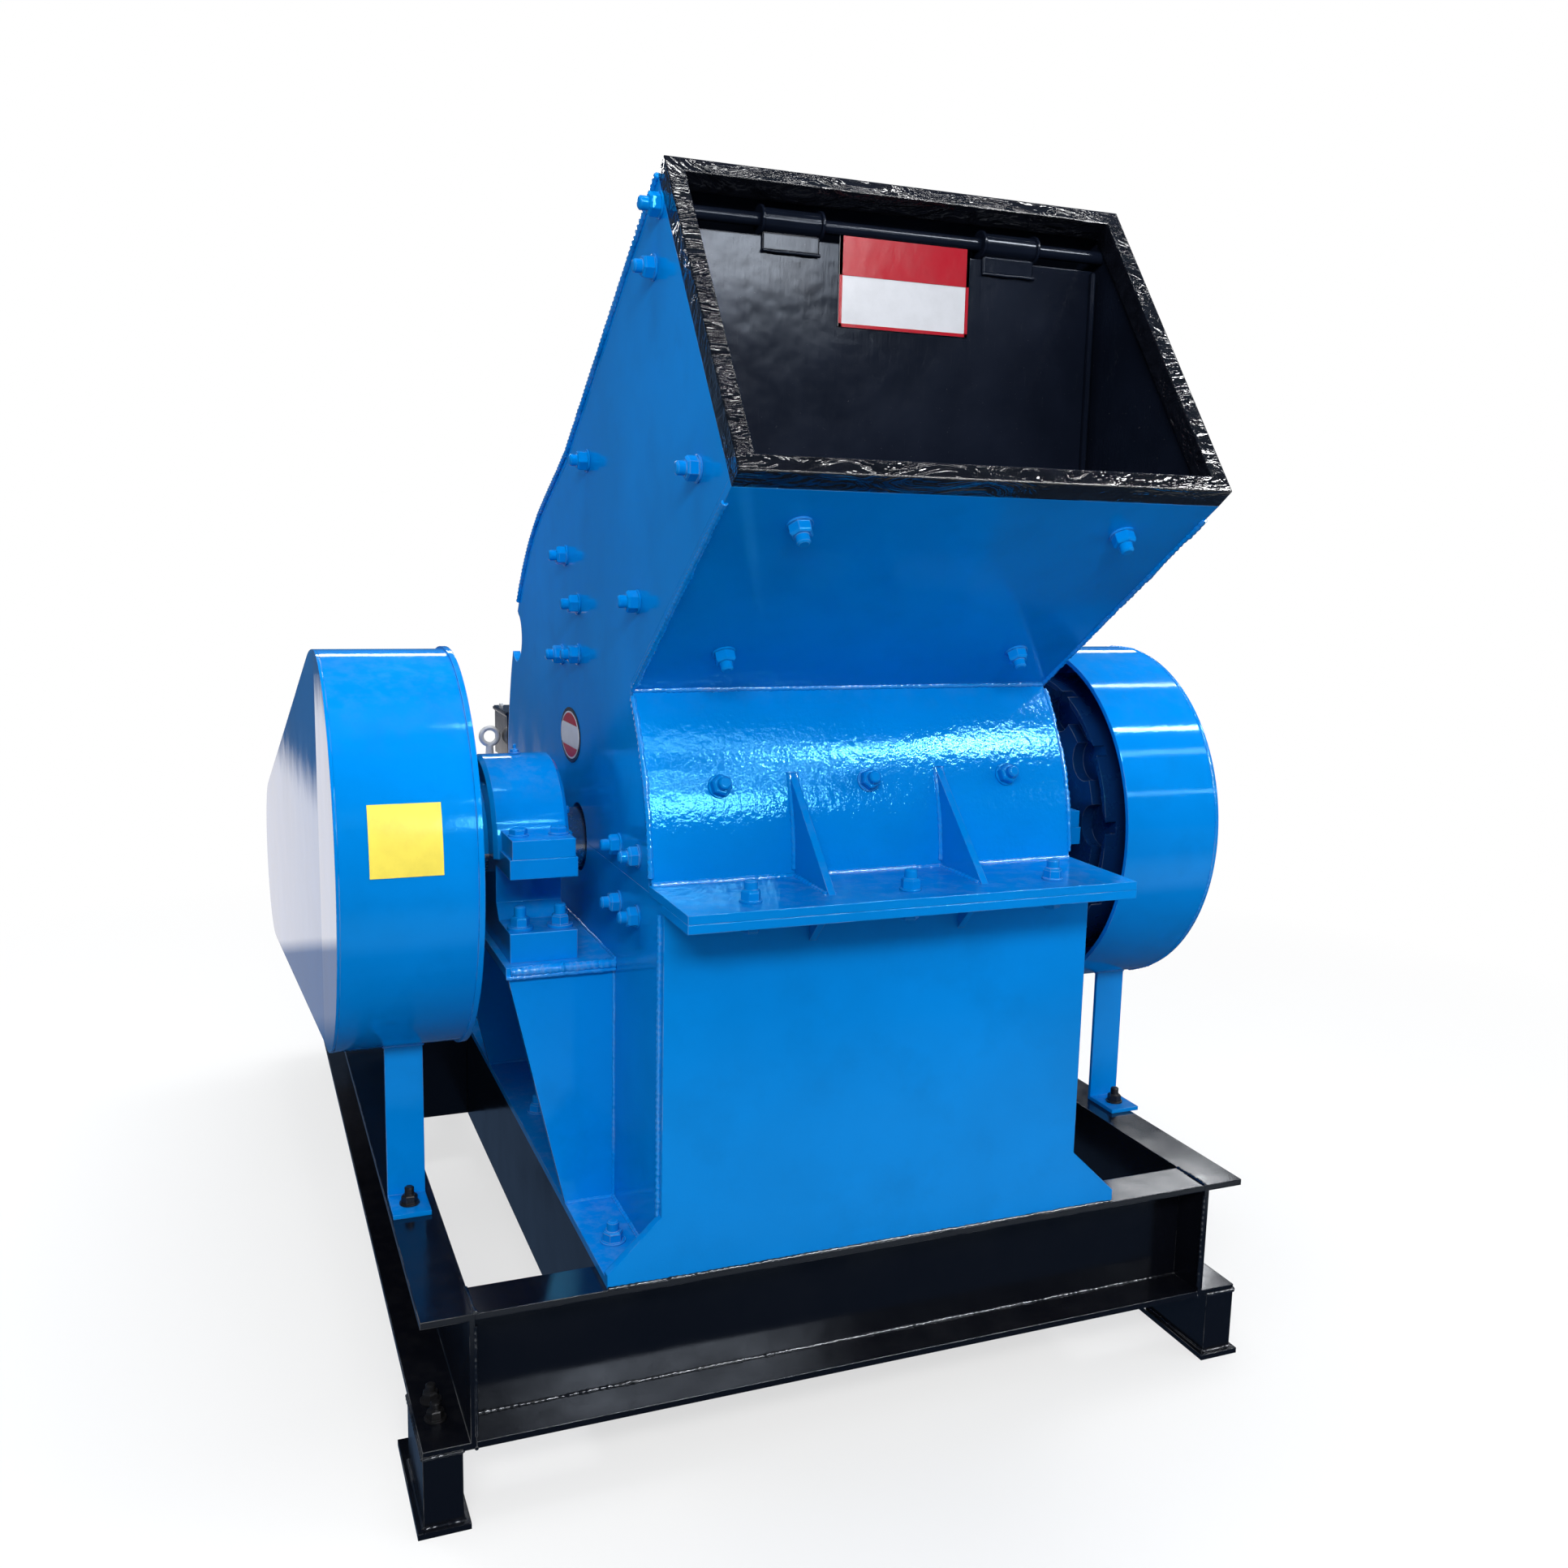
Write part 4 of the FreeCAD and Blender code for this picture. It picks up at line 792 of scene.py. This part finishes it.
class CRUSHER_OT_welds(bpy.types.Operator):
    """Lay the weld beads of the casing, pedestals and skid"""

    bl_idname = "crusher.welds"
    bl_label = "Weld beads"

    def execute(self, context):
        base = low("lower_side_left").z + FLANGE
        front = low("lower_front_plate").y
        rise = SPLIT - 0.02
        arc_y = AXIS.y - math.sqrt(ARC ** 2 - FLANGE ** 2)
        lift = outward(SEAM - 3) * 0.001
        lines = [[SEAM_AT + lift + Vector((x, 0, 0)) for x in ACROSS]]
        lines += [[(x, y, z) for x in ACROSS]
                  for y, z in ((arc_y, FLANGE_TOP), (front, SPLIT_UNDER))]
        for side in SIDES:
            x = side * (CASE + 0.001)
            shift = Vector((x, 0, 0))
            lines += [
                [around(ARC - 0.002, a, x) for a in range(3, 41, 3)],
                [TOP_EDGE + shift, KINK + shift],
                [KINK + shift] + [around(COVER_RADIUS - 0.001, a, x, True)
                                  for a in range(66, 36, -4)],
                [(x, front + SIDE_PLATE, base), (x, front + SIDE_PLATE, rise)],
                [(x, front + 0.02, base), (x, 0.18, base)],
                [(x, 0.19, base), (x, 0.19, rise)]]
        for edge in (rib + k * 0.006 for rib in (-0.132, 0.132) for k in SIDES):
            lines += [
                [(edge, arc_y, FLANGE_TOP), (edge, arc_y - 0.13, FLANGE_TOP)],
                [around(ARC, a, edge) for a in (3, 8, 13, 18, 22)],
                [(edge, front, SPLIT_UNDER), (edge, front - 0.055, SPLIT_UNDER)]]
        beads("casing_welds", lines)
        lines = [[SEAM_AT + CHUTE * s + Vector((side * (CASE - 0.001), 0, 0))
                  for s in (0.0, 0.27, 0.505)] for side in SIDES]
        beads("chute_edges", lines, radius=0.0045)

        lines, seats = [], []
        for side, name in NAMED_SIDES:
            lo, hi = ends("bearing_pedestal_" + name)
            wall, under = side * CASE, hi.z - 0.016
            out = hi.x if side > 0 else lo.x
            lines += [[(x, y, under - 0.001) for x in (wall, out)] for y in (lo.y, hi.y)]
            lines.append([(wall, lo.y, hi.z), (wall, hi.y, hi.z)])
            for plate in (lo.y + 0.010, hi.y - 0.024):
                for y in (plate, plate + 0.014):
                    lines += [[(wall, y, base), (wall, y, under)],
                              [(wall, y, base), (side * 0.460, y, base)]]
            seats += [[(x, y, hi.z - 0.008) for x in (wall, out - side * 0.008)]
                      for y in (lo.y + 0.003, hi.y - 0.003)]
        beads("pedestal_welds", lines, radius=0.004)
        beads("seat_welds", seats, radius=0.0085)

        lines = []
        beam_lo, beam_hi = ends("base_front_beam")
        top, bottom = beam_hi.z, beam_lo.z
        for side, name in NAMED_SIDES:
            lo, hi = ends("base_side_beam_" + name)
            inner = hi.x if side < 0 else lo.x
            for y, k in ((lo.y, 1), (hi.y, -1)):
                lines += [[(inner, y, z), (inner, y + k * 0.081, z)] for z in (top, bottom)]
                lines.append([(inner, y + k * 0.002, z)
                              for z in (bottom + 0.02, top - 0.02)])
        lines += [[(x, beam_lo.y + 0.072, z) for x in (beam_lo.x, 0.0, beam_hi.x)]
                  for z in (bottom + 0.011, top - 0.011)]
        foot_long, foot_wide = 0.176, 0.060
        for side in SIDES:
            for y, inner in ((-1.05, 0.686), (-0.028, 0.652), (1.05 - foot_long, 0.652)):
                xs, ys = (inner, inner + foot_wide), (y, y + foot_long)
                for z in (0.010, 0.125):
                    lines += [[(side * x, end, z) for end in ys] for x in xs]
                    lines += [[(side * x, end, z) for x in xs] for end in ys]
        lines.append([(x, front, low("lower_front_plate").z) for x in (-0.462, 0.462)])
        beads("skid_welds", lines, "black_bead", radius=0.0035)
        return {"FINISHED"}


class CRUSHER_OT_bearings(bpy.types.Operator):
    """Bolt the bearing housings down and fit their grease plugs"""

    bl_idname = "crusher.bearings"
    bl_label = "Bearing details"

    def execute(self, context):
        bolt_x, ear_y, ear_z, foot_y, foot_z = 0.034, 0.200, 0.048, 0.210, 0.050
        cover_radius, cover_step = 0.088, 30
        ears, feet, plugs, covers = [], [], [], []
        for side, name in NAMED_SIDES:
            lo, hi = ends("bearing_base_" + name)
            cap_lo, cap_hi = ends("bearing_cap_" + name)
            mid = (lo.x + hi.x) / 2
            for x in (mid - bolt_x, mid + bolt_x):
                for k in SIDES:
                    ears.append(((x, AXIS.y + k * ear_y, AXIS.z + ear_z), UPWARD))
                    feet.append(((x, AXIS.y + k * foot_y, lo.z + foot_z), UPWARD))
            plugs.append(((mid, AXIS.y, cap_hi.z), UPWARD))
            faces = (cap_lo.x, cap_hi.x)[::-side]
            for angle in range(cover_step // 2, 180, cover_step):
                for x, way in zip(faces, (side, -side)):
                    covers.append((around(cover_radius, angle, x, True), (way, 0, 0)))
        nuts("bearing_ear_bolts", ears, flats=0.027, height=0.010, **HEAD)
        nuts("bearing_foot_nuts", feet, flats=0.028, height=0.016, washer=0.022,
             thick=0.006, tip=0.016)
        nuts("bearing_plugs", plugs, flats=0.014, height=0.006, washer=0.010,
             stud=0.003, tip=0.008)
        nuts("bearing_cover_bolts", covers, flats=0.013, height=0.008, washer=0.0085,
             thick=0.0015, **HEAD)
        return {"FINISHED"}


class CRUSHER_OT_mouth(bpy.types.Operator):
    """Line the mouth and finish the flap's hinge"""

    bl_idname = "crusher.mouth"
    bl_label = "Mouth lining and hinge"

    def execute(self, context):
        inner, wall, sheet = CASE - SIDE_PLATE, 0.003, 0.014
        low_in = LOW_EDGE + UP * sheet
        top_in = TOP_EDGE - UP * sheet
        foot_in = SEAM_AT - CHUTE_OUT * sheet
        kink_in = KINK + Vector((0, -0.007, -0.014))
        outline = (low_in, top_in, kink_in,
                   kink_in - CHUTE * 0.22 + Vector((0, 0, -0.1)), foot_in)
        bm = bmesh.new()
        for side in SIDES:
            one, two = ([bm.verts.new((side * x, p.y, p.z)) for p in outline]
                        for x in (inner, inner - wall))
            bm.faces.new(one)
            bm.faces.new(two)
            wrapped(bm, two, one)
        down = (kink_in - top_in).normalized()
        lifted = Vector((0.0, -down.z, down.y))
        for start, end, out, way in ((low_in, foot_in, CHUTE_OUT, -CHUTE_OUT),
                                     (top_in, kink_in, lifted, lifted)):
            along = end - start
            slab(bm, (start + end) / 2 - out * (wall / 2),
                 ((inner - wall) * 2, along.length, wall),
                 axes=((1, 0, 0), along.normalized(), way))
        solid("mouth_lining", bm, "flap")

        flap, edge = low("feed_flap"), high("feed_flap").x - 0.004
        bm = bmesh.new()
        for x in KNUCKLES:
            slab(bm, (x, PIN.y - 0.0065, PIN.z - 0.030), (0.090, 0.005, 0.026), 0.0015)
            for k in SIDES:
                lathe(bm, (x + k * 0.0448, PIN.y, PIN.z), (k, 0, 0),
                      ((0.0, 0.0), (0.0, 0.0215), (0.004, 0.0215), (0.0045, 0.021),
                       (0.0045, 0.0)), 28)
        for side in SIDES:
            slab(bm, (side * edge, PIN.y - 0.010, (flap.z + PIN.z - 0.02) / 2),
                 (0.008, 0.012, PIN.z - 0.03 - flap.z), 0.002)
        solid("flap_leaves", bm, "flap", "flap")
        lines = [[(x + k * 0.045, PIN.y - 0.0095, PIN.z - 0.0435) for k in SIDES]
                 for x in KNUCKLES]
        beads("flap_leaf_welds", lines, "flap", "flap", radius=0.0025)
        return {"FINISHED"}


class CRUSHER_OT_plates(bpy.types.Operator):
    """Put the blank plates on the flap, the guard and the casing"""

    bl_idname = "crusher.plates"
    bl_label = "Blank plates"

    def execute(self, context):
        x, front, z, wide, tall = 0.006, PIN.y - 0.004, 1.875, 0.218, 0.130
        bm = bmesh.new()
        slab(bm, (x, front - 0.0012, z), (wide, 0.0024, tall), 0.0005)
        solid("flap_plate", bm, "plate", "flap")
        bm = bmesh.new()
        for dx, dz, w, h in ((0, 0.0370, wide, 0.056), (0, -0.0625, wide, 0.005),
                             (-0.1065, 0, 0.005, tall), (0.1065, 0, 0.005, tall)):
            slab(bm, (x + dx, front - 0.0027, z + dz), (w, 0.0012, h), 0.0002)
        solid("flap_plate_border", bm, "edge", "flap")
        # a bent plate on the guard's rim, set by its two ends along the axis
        steps = 12
        bm = bmesh.new()
        rows = [[bm.verts.new(around(r, 3.7 + 18.7 * k / steps, x))
                 for r in (GUARD_RADIUS, GUARD_RADIUS + 0.0014)
                 for x in (-0.782, -0.671)] for k in range(steps + 1)]
        for one, two in zip(rows, rows[1:]):
            for i, j in ((0, 1), (1, 3), (3, 2), (2, 0)):
                bm.faces.new((one[i], one[j], two[j], two[i]))
        for row in (rows[0], rows[-1]):
            bm.faces.new((row[0], row[1], row[3], row[2]))
        solid("guard_plate", bm, "yellow")
        # an oval badge on the casing: dark ground, pale line, red field, pale band
        centre = Vector((-CASE, -0.452, 1.132))

        def oval(bm, out, wide, tall, low_z, high_z, steps=96):
            ring = []
            for k in range(steps):
                t = 2 * math.pi * k / steps
                z = max(low_z, min(high_z, tall * math.sin(t)))
                y = wide * math.sqrt(max(0.0, 1 - (z / tall) ** 2))
                ring.append(centre + Vector((0, math.copysign(min(y, wide), math.cos(t)), z)))
            part = bmesh.new()
            near = [part.verts.new(v) for v in ring]
            far = [part.verts.new(v - Vector((out, 0, 0))) for v in ring]
            part.faces.new(near)
            part.faces.new(far)
            wrapped(part, far, near)
            join(bm, part)

        for name, key, shapes in (
                ("badge", "dark", ((0.0012, 0.076, 0.051, -1, 1),)),
                ("badge_line", "plate", ((0.0016, 0.068, 0.044, -1, 1),
                                         (0.0022, 0.069, 0.045, -0.018, 0.018))),
                ("badge_field", "edge", ((0.0019, 0.064, 0.041, 0.021, 1),
                                         (0.0019, 0.064, 0.041, -1, -0.021)))):
            bm = bmesh.new()
            for shape in shapes:
                oval(bm, *shape)
            bmesh.ops.remove_doubles(bm, verts=bm.verts, dist=1e-5)
            solid(name, bm, key)
        return {"FINISHED"}


class CRUSHER_OT_guards(bpy.types.Operator):
    """Bolt the guards' legs down and weld their seams"""

    bl_idname = "crusher.guards"
    bl_label = "Guard details"

    def execute(self, context):
        bolt = {"key": "dark_bolt", "slot": "black_paint", "flats": 0.024,
                "height": 0.014, "washer": 0.017, "stud": 0.008}
        rows, lines = [], []
        for name, radius in (("belt_guard_leg", GUARD_RADIUS), ("flywheel_guard_leg", 0.345)):
            lo, hi = ends(name)
            rows.append((((lo.x + hi.x) / 2, lo.y + 0.040, lo.z + 0.008), UPWARD))
            y = lo.y + 0.080
            z = AXIS.z - math.sqrt(radius ** 2 - (y - AXIS.y) ** 2)
            lines.append([(lo.x, y, z), (hi.x, y, z)])
            lines += [[(x, y, z), (x, y + 0.008, z - 0.002)] for x in (lo.x, hi.x)]
        nuts("leg_bolts", rows, tip=0.012, **bolt)
        foot_x, foot_z, foot_ys = 0.715, 0.136, (-0.969, -0.918)
        rows = [((side * foot_x, y, foot_z), UPWARD) for side in SIDES for y in foot_ys]
        nuts("foot_bolts", rows, tip=0.010, **bolt)
        x = high("flywheel_guard").x - 0.006
        lines.append([around(0.344, 180 * k / 32, x, True) for k in range(65)])
        beads("guard_welds", lines, radius=0.003)
        return {"FINISHED"}


class CRUSHER_OT_motor(bpy.types.Operator):
    """Give the motor its grille, lid, screws, foot bolts and lifting eye"""

    bl_idname = "crusher.motor"
    bl_label = "Motor details"

    def execute(self, context):
        cowl_lo, cowl_hi = ends("motor_fan_cowl")
        y, z, end = (cowl_lo.y + cowl_hi.y) / 2, (cowl_lo.z + cowl_hi.z) / 2, cowl_hi.x
        radius = (cowl_hi.z - cowl_lo.z) / 2
        hub = (end - 0.001, y, z)
        bm = bmesh.new()
        for r in (0.050 + ring * 0.036 for ring in range(5)):
            part = bmesh.new()
            lathe(part, hub, (1, 0, 0),
                  ((0.0, r), (0.0035, r + 0.0015), (0.0035, r + 0.0055), (0.0, r + 0.007)),
                  64)
            join(bm, part)
        for a in (math.pi * k / 4 for k in range(8)):
            along = Vector((0, math.cos(a), math.sin(a)))
            slab(bm, Vector((end + 0.0008, y, z)) + along * 0.118, (0.004, 0.150, 0.006),
                 0.001, ((1, 0, 0), along, (0, -math.sin(a), math.cos(a))))
        lathe(bm, hub, (1, 0, 0),
              ((0.0, 0.0), (0.0, 0.047), (0.005, 0.045), (0.006, 0.040), (0.006, 0.0)), 40)
        solid("fan_grille", bm, "body")

        lo, hi = ends("motor_terminal_box")
        mid = (lo + hi) / 2
        bm = bmesh.new()
        slab(bm, (mid.x, mid.y, hi.z - 0.003),
             (hi.x - lo.x + 0.010, hi.y - lo.y + 0.010, 0.012), 0.003)
        lathe(bm, (lo.x + 0.06, hi.y, mid.z - 0.01), (0, 1, 0),
              ((0, 0), (0, 0.022), (0.012, 0.022), (0.014, 0.018), (0.028, 0.017),
               (0.030, 0.010), (0.030, 0)), 24)
        solid("terminal_box_lid", bm, "frame")
        rows = [((mid.x + i * (hi.x - mid.x - 0.014), mid.y + j * (hi.y - mid.y - 0.014),
                  hi.z + 0.003), UPWARD) for i in SIDES for j in SIDES]
        nuts("terminal_box_screws", rows, "zinc", "machined_steel", flats=0.010,
             height=0.005, washer=0.006, thick=0.001, **HEAD)
        foot_z = high("motor_rail_front").z + 0.026
        rows = []
        for rail in ("motor_rail_front", "motor_rail_back"):
            lo, hi = ends(rail)
            rows += [(((lo.x + hi.x) / 2, y + k * 0.203, foot_z), UPWARD) for k in SIDES]
        nuts("motor_foot_bolts", rows, "dark_bolt", "black_paint", flats=0.030,
             height=0.018, washer=0.022, stud=0.010, tip=0.014)

        # lifting eye: a shank and a ring standing across the motor
        at = Vector((-0.330, y, high("motor_body").z - 0.014))
        ring_z, ring_r, rod = 0.990, 0.0215, 0.0065
        shank = ring_z - ring_r - at.z + 0.002
        bm = bmesh.new()
        lathe(bm, at - Vector((0, 0, 0.003)), UPWARD,
              ((0, 0), (0, 0.024), (0.006, 0.024), (0.010, 0.019), (0.012, 0.011),
               (shank, 0.009), (shank, 0)), 28)
        part = bmesh.new()
        rings = []
        for t in (2 * math.pi * k / 36 for k in range(36)):
            along = Vector((math.cos(t), 0, math.sin(t)))
            rings.append([part.verts.new(Vector((at.x, at.y, ring_z))
                                         + along * (ring_r + rod * math.cos(u))
                                         + Vector((0, rod * math.sin(u), 0)))
                          for u in (math.pi * j / 7 for j in range(14))])
        for k, ring in enumerate(rings):
            wrapped(part, ring, rings[(k + 1) % len(rings)])
        join(bm, part)
        solid("motor_eye_bolt", bm, "zinc", angle=50.0)
        rows = []
        for a in (math.radians(30 + 60 * k) for k in range(6)):
            way = (0, math.cos(a), math.sin(a))
            rows.append(((cowl_lo.x + 0.03, y + radius * way[1], z + radius * way[2]), way))
        nuts("cowl_screws", rows, "zinc", "machined_steel", flats=0.012, height=0.005,
             washer=0.009, thick=0.0015, **HEAD)
        return {"FINISHED"}


# the camera fitted to the photograph: its place, and its yaw, pitch and roll in degrees
CAMERA_AT = Vector((-0.992, -3.038, 1.473))
CAMERA_TURNS = (22.03, -9.19, -1.27)
SENSOR_MM = 36.0
FLOOR_REACH = 14
WHITE = (1.0, 1.0, 1.0)
# the line that the ceiling tubes are set about, and how far off they hang
TUBES_Y, TUBES_Z, TUBES_AWAY = -0.8, 1.1, 5


def mixed(tree, share, one, other):
    """A mix of two shaders by a share of the second."""
    return add(tree, "ShaderNodeMixShader", {
        0: share, 1: one.outputs[0], 2: other.outputs[0]})


class CRUSHER_OT_stage(bpy.types.Operator):
    """Set the camera, the floor and the lamps"""

    bl_idname = "crusher.stage"
    bl_label = "Stage"

    def execute(self, context):
        scene = context.scene
        own = scene.crusher_stage
        yaw, pitch, roll = (math.radians(a) for a in CAMERA_TURNS)
        ahead = Vector((math.sin(yaw) * math.cos(pitch), math.cos(yaw) * math.cos(pitch),
                        math.sin(pitch)))
        right = Vector((math.cos(yaw), -math.sin(yaw), 0.0))
        down = ahead.cross(right)
        right2 = right * math.cos(roll) + down * math.sin(roll)
        down2 = down * math.cos(roll) - right * math.sin(roll)
        data = bpy.data.cameras.new("photo_camera")
        data.lens = own.lens
        data.sensor_width = SENSOR_MM
        data.sensor_fit = "HORIZONTAL"
        data.clip_start, data.clip_end = 0.05, 60.0
        camera = bpy.data.objects.new("photo_camera", data)
        scene.collection.objects.link(camera)
        turn = Matrix((right2, -down2, -ahead)).transposed().to_4x4()
        turn.translation = CAMERA_AT
        camera.matrix_world = turn
        scene.camera = camera

        mesh = bpy.data.meshes.new("floor")
        mesh.from_pydata([(x * FLOOR_REACH, y * FLOOR_REACH, 0) for x, y in
                          ((-1, -1), (1, -1), (1, 1), (-1, 1))], [], [(0, 1, 2, 3)])
        mat, tree, shader, where = finish("Pale floor")
        # the camera sees white paper with soft shadows, other surfaces a grey hall
        # floor that is bright only far behind the machine
        rays = add(tree, "ShaderNodeLightPath").outputs
        shader.inputs["Roughness"].default_value = 0.9
        shader.inputs["Specular IOR Level"].default_value = 0.0
        tree.links.new(blended(tree, rays["Is Camera Ray"], scaled(own.floor, 0.32), own.floor),
                       shader.inputs["Base Color"])
        out = next(n for n in tree.nodes if n.type == "OUTPUT_MATERIAL")
        split = parts_of(tree, where)
        white = add(tree, "ShaderNodeEmission", {"Color": (1, 1, 1, 1), "Strength": 1.0})
        far = add(tree, "ShaderNodeVectorMath", {0: where}, operation="LENGTH").outputs["Value"]
        paper = mixed(tree, spread(tree, far, 1.6, 3.6, 0.66, 1.0), shader, white)
        # a lit strip of floor far behind the belt guard, and one in front of the skid
        strip = times(tree, spread(tree, split["X"], -1.75, -1.55),
                      spread(tree, split["X"], -0.30, -0.45))
        strip = times(tree, strip, spread(tree, split["Y"], 1.2, 1.5))
        lit = blended(tree, spread(tree, split["Y"], 2.25, 2.45), (0.30, 0.31, 0.37),
                      (1.0, 0.95, 0.93))
        near = times(tree, spread(tree, split["Y"], -1.5, -1.8),
                     spread(tree, split["Y"], -3.2, -2.3))
        hall = blended(tree, spread(tree, split["Y"], -1.5, -2.1), (0.05, 0.085, 0.15),
                       (0.22, 0.28, 0.40))
        hall = blended(tree, near, hall, (0.95, 1.0, 1.0))
        hall = add(tree, "ShaderNodeEmission", {"Color": blended(tree, strip, hall, lit),
                                                "Strength": 1.0})
        pick = mixed(tree, rays["Is Camera Ray"], shader, paper)
        pick = mixed(tree, rays["Is Glossy Ray"], pick, hall)
        tree.links.new(pick.outputs[0], out.inputs["Surface"])
        mesh.materials.append(mat)
        obj = bpy.data.objects.new("floor", mesh)
        scene.collection.objects.link(obj)

        world = bpy.data.worlds.new("studio")
        scene.world = world
        world.use_nodes = True
        tree = world.node_tree
        tree.nodes.clear()
        rays = add(tree, "ShaderNodeLightPath").outputs
        soft = add(tree, "ShaderNodeBackground", {"Color": (0.86, 0.93, 1.0, 1), "Strength": 0.5})
        white = add(tree, "ShaderNodeBackground", {"Color": (1, 1, 1, 1), "Strength": 1.0})
        up = parts_of(tree, add(tree, "ShaderNodeTexCoord").outputs["Generated"])["Z"]
        hall = blended(tree, spread(tree, up, 0.05, 0.45), (0.055, 0.095, 0.16),
                       (0.055, 0.075, 0.115))
        dim = add(tree, "ShaderNodeBackground", {"Color": hall, "Strength": 1.0})
        mix = mixed(tree, rays["Is Glossy Ray"], soft, dim)
        mix = mixed(tree, rays["Is Camera Ray"], mix, white)
        add(tree, "ShaderNodeOutputWorld", {"Surface": mix.outputs[0]})

        def lamp(name, at, size, power, tint, target):
            data = bpy.data.lights.new(name, "AREA")
            data.shape = "RECTANGLE"
            data.size, data.size_y = size
            data.energy = power
            data.color = tint
            holder = bpy.data.objects.new(name, data)
            scene.collection.objects.link(holder)
            holder.location = at
            aim = Vector(target) - Vector(at)
            holder.rotation_euler = aim.to_track_quat("-Z", "Y").to_euler()
            return holder

        for name, at, size, power, tint in (
                ("key", (-1.4, -4.4, 3.1), (2.4, 0.7), own.key, (1.0, 0.98, 0.96)),
                ("fill", (4.2, -3.0, 2.2), (2.5, 2.5), own.key * 0.42, (0.92, 0.96, 1.0)),
                ("top", (0.2, -0.6, 4.6), (3.2, 1.2), own.key * 1.05, WHITE),
                ("back", (-3.4, 3.2, 3.2), (2.4, 1.6), own.key * 0.6, WHITE)):
            lamp(name, at, size, power, tint, (0, -0.2, 1.0)).visible_glossy = False
        # ceiling tubes, which show only in the gloss: elevation from the feed side
        # about a point in front of the rotor, width, brightness
        for k, (angle, width, glow, x, length) in enumerate((
                (155, 0.25, 14, 2.0, 5.6), (105, 0.12, 40, 4.8, 2.4), (82, 0.08, 45, 1.5, 2.8),
                (66, 0.15, 130, 4.8, 2.4), (48, 0.30, 9, 4.9, 2.4), (44.5, 0.55, 120, 2.7, 1.7),
                (33.5, 0.12, 60, 1.2, 1.8), (22, 0.55, 55, 1.0, 1.5),
                (19, 0.12, 14, 4.9, 2.4))):
            c, s = math.cos(math.radians(angle)), math.sin(math.radians(angle))
            tube = lamp("tube_%d" % k, (x, TUBES_Y - TUBES_AWAY * c, TUBES_Z + TUBES_AWAY * s),
                        (length, width), glow * own.tubes * math.pi * length * width, WHITE,
                        (x, TUBES_Y, TUBES_Z))
            tube.visible_diffuse = False
            tube.visible_camera = False
        scene.view_settings.view_transform = "Standard"
        return {"FINISHED"}


OPERATORS = (CRUSHER_OT_paints, CRUSHER_OT_casing_nuts, CRUSHER_OT_welds,
             CRUSHER_OT_bearings, CRUSHER_OT_mouth, CRUSHER_OT_plates,
             CRUSHER_OT_guards, CRUSHER_OT_motor, CRUSHER_OT_stage)
GROUPS = (("crusher_paints", CrusherPaints), ("crusher_fasteners", CrusherFasteners),
          ("crusher_welds", CrusherWelds), ("crusher_stage", CrusherStage))


class CRUSHER_PT_sidebar(bpy.types.Panel):
    """Lists the pieces and their sizes and colours"""

    bl_idname = "CRUSHER_PT_sidebar"
    bl_label = "Hammer Crusher"
    bl_space_type = "VIEW_3D"
    bl_region_type = "UI"
    bl_category = "Crusher"

    def draw(self, context):
        for name, group in GROUPS:
            box = self.layout.box()
            box.label(text=group.__doc__)
            own = getattr(context.scene, name)
            for key in group.__annotations__:
                box.prop(own, key)
        for operator in OPERATORS:
            self.layout.operator(operator.bl_idname)


def register():
    for name, group in GROUPS:
        bpy.utils.register_class(group)
        setattr(bpy.types.Scene, name, PointerProperty(type=group))
    for operator in OPERATORS:
        bpy.utils.register_class(operator)
    bpy.utils.register_class(CRUSHER_PT_sidebar)


def unregister():
    bpy.utils.unregister_class(CRUSHER_PT_sidebar)
    for operator in reversed(OPERATORS):
        bpy.utils.unregister_class(operator)
    for name, group in reversed(GROUPS):
        delattr(bpy.types.Scene, name)
        bpy.utils.unregister_class(group)


def main():
    register()
    for operator in OPERATORS:
        group, name = operator.bl_idname.split(".")
        getattr(getattr(bpy.ops, group), name)()


if __name__ == "__main__":
    main()
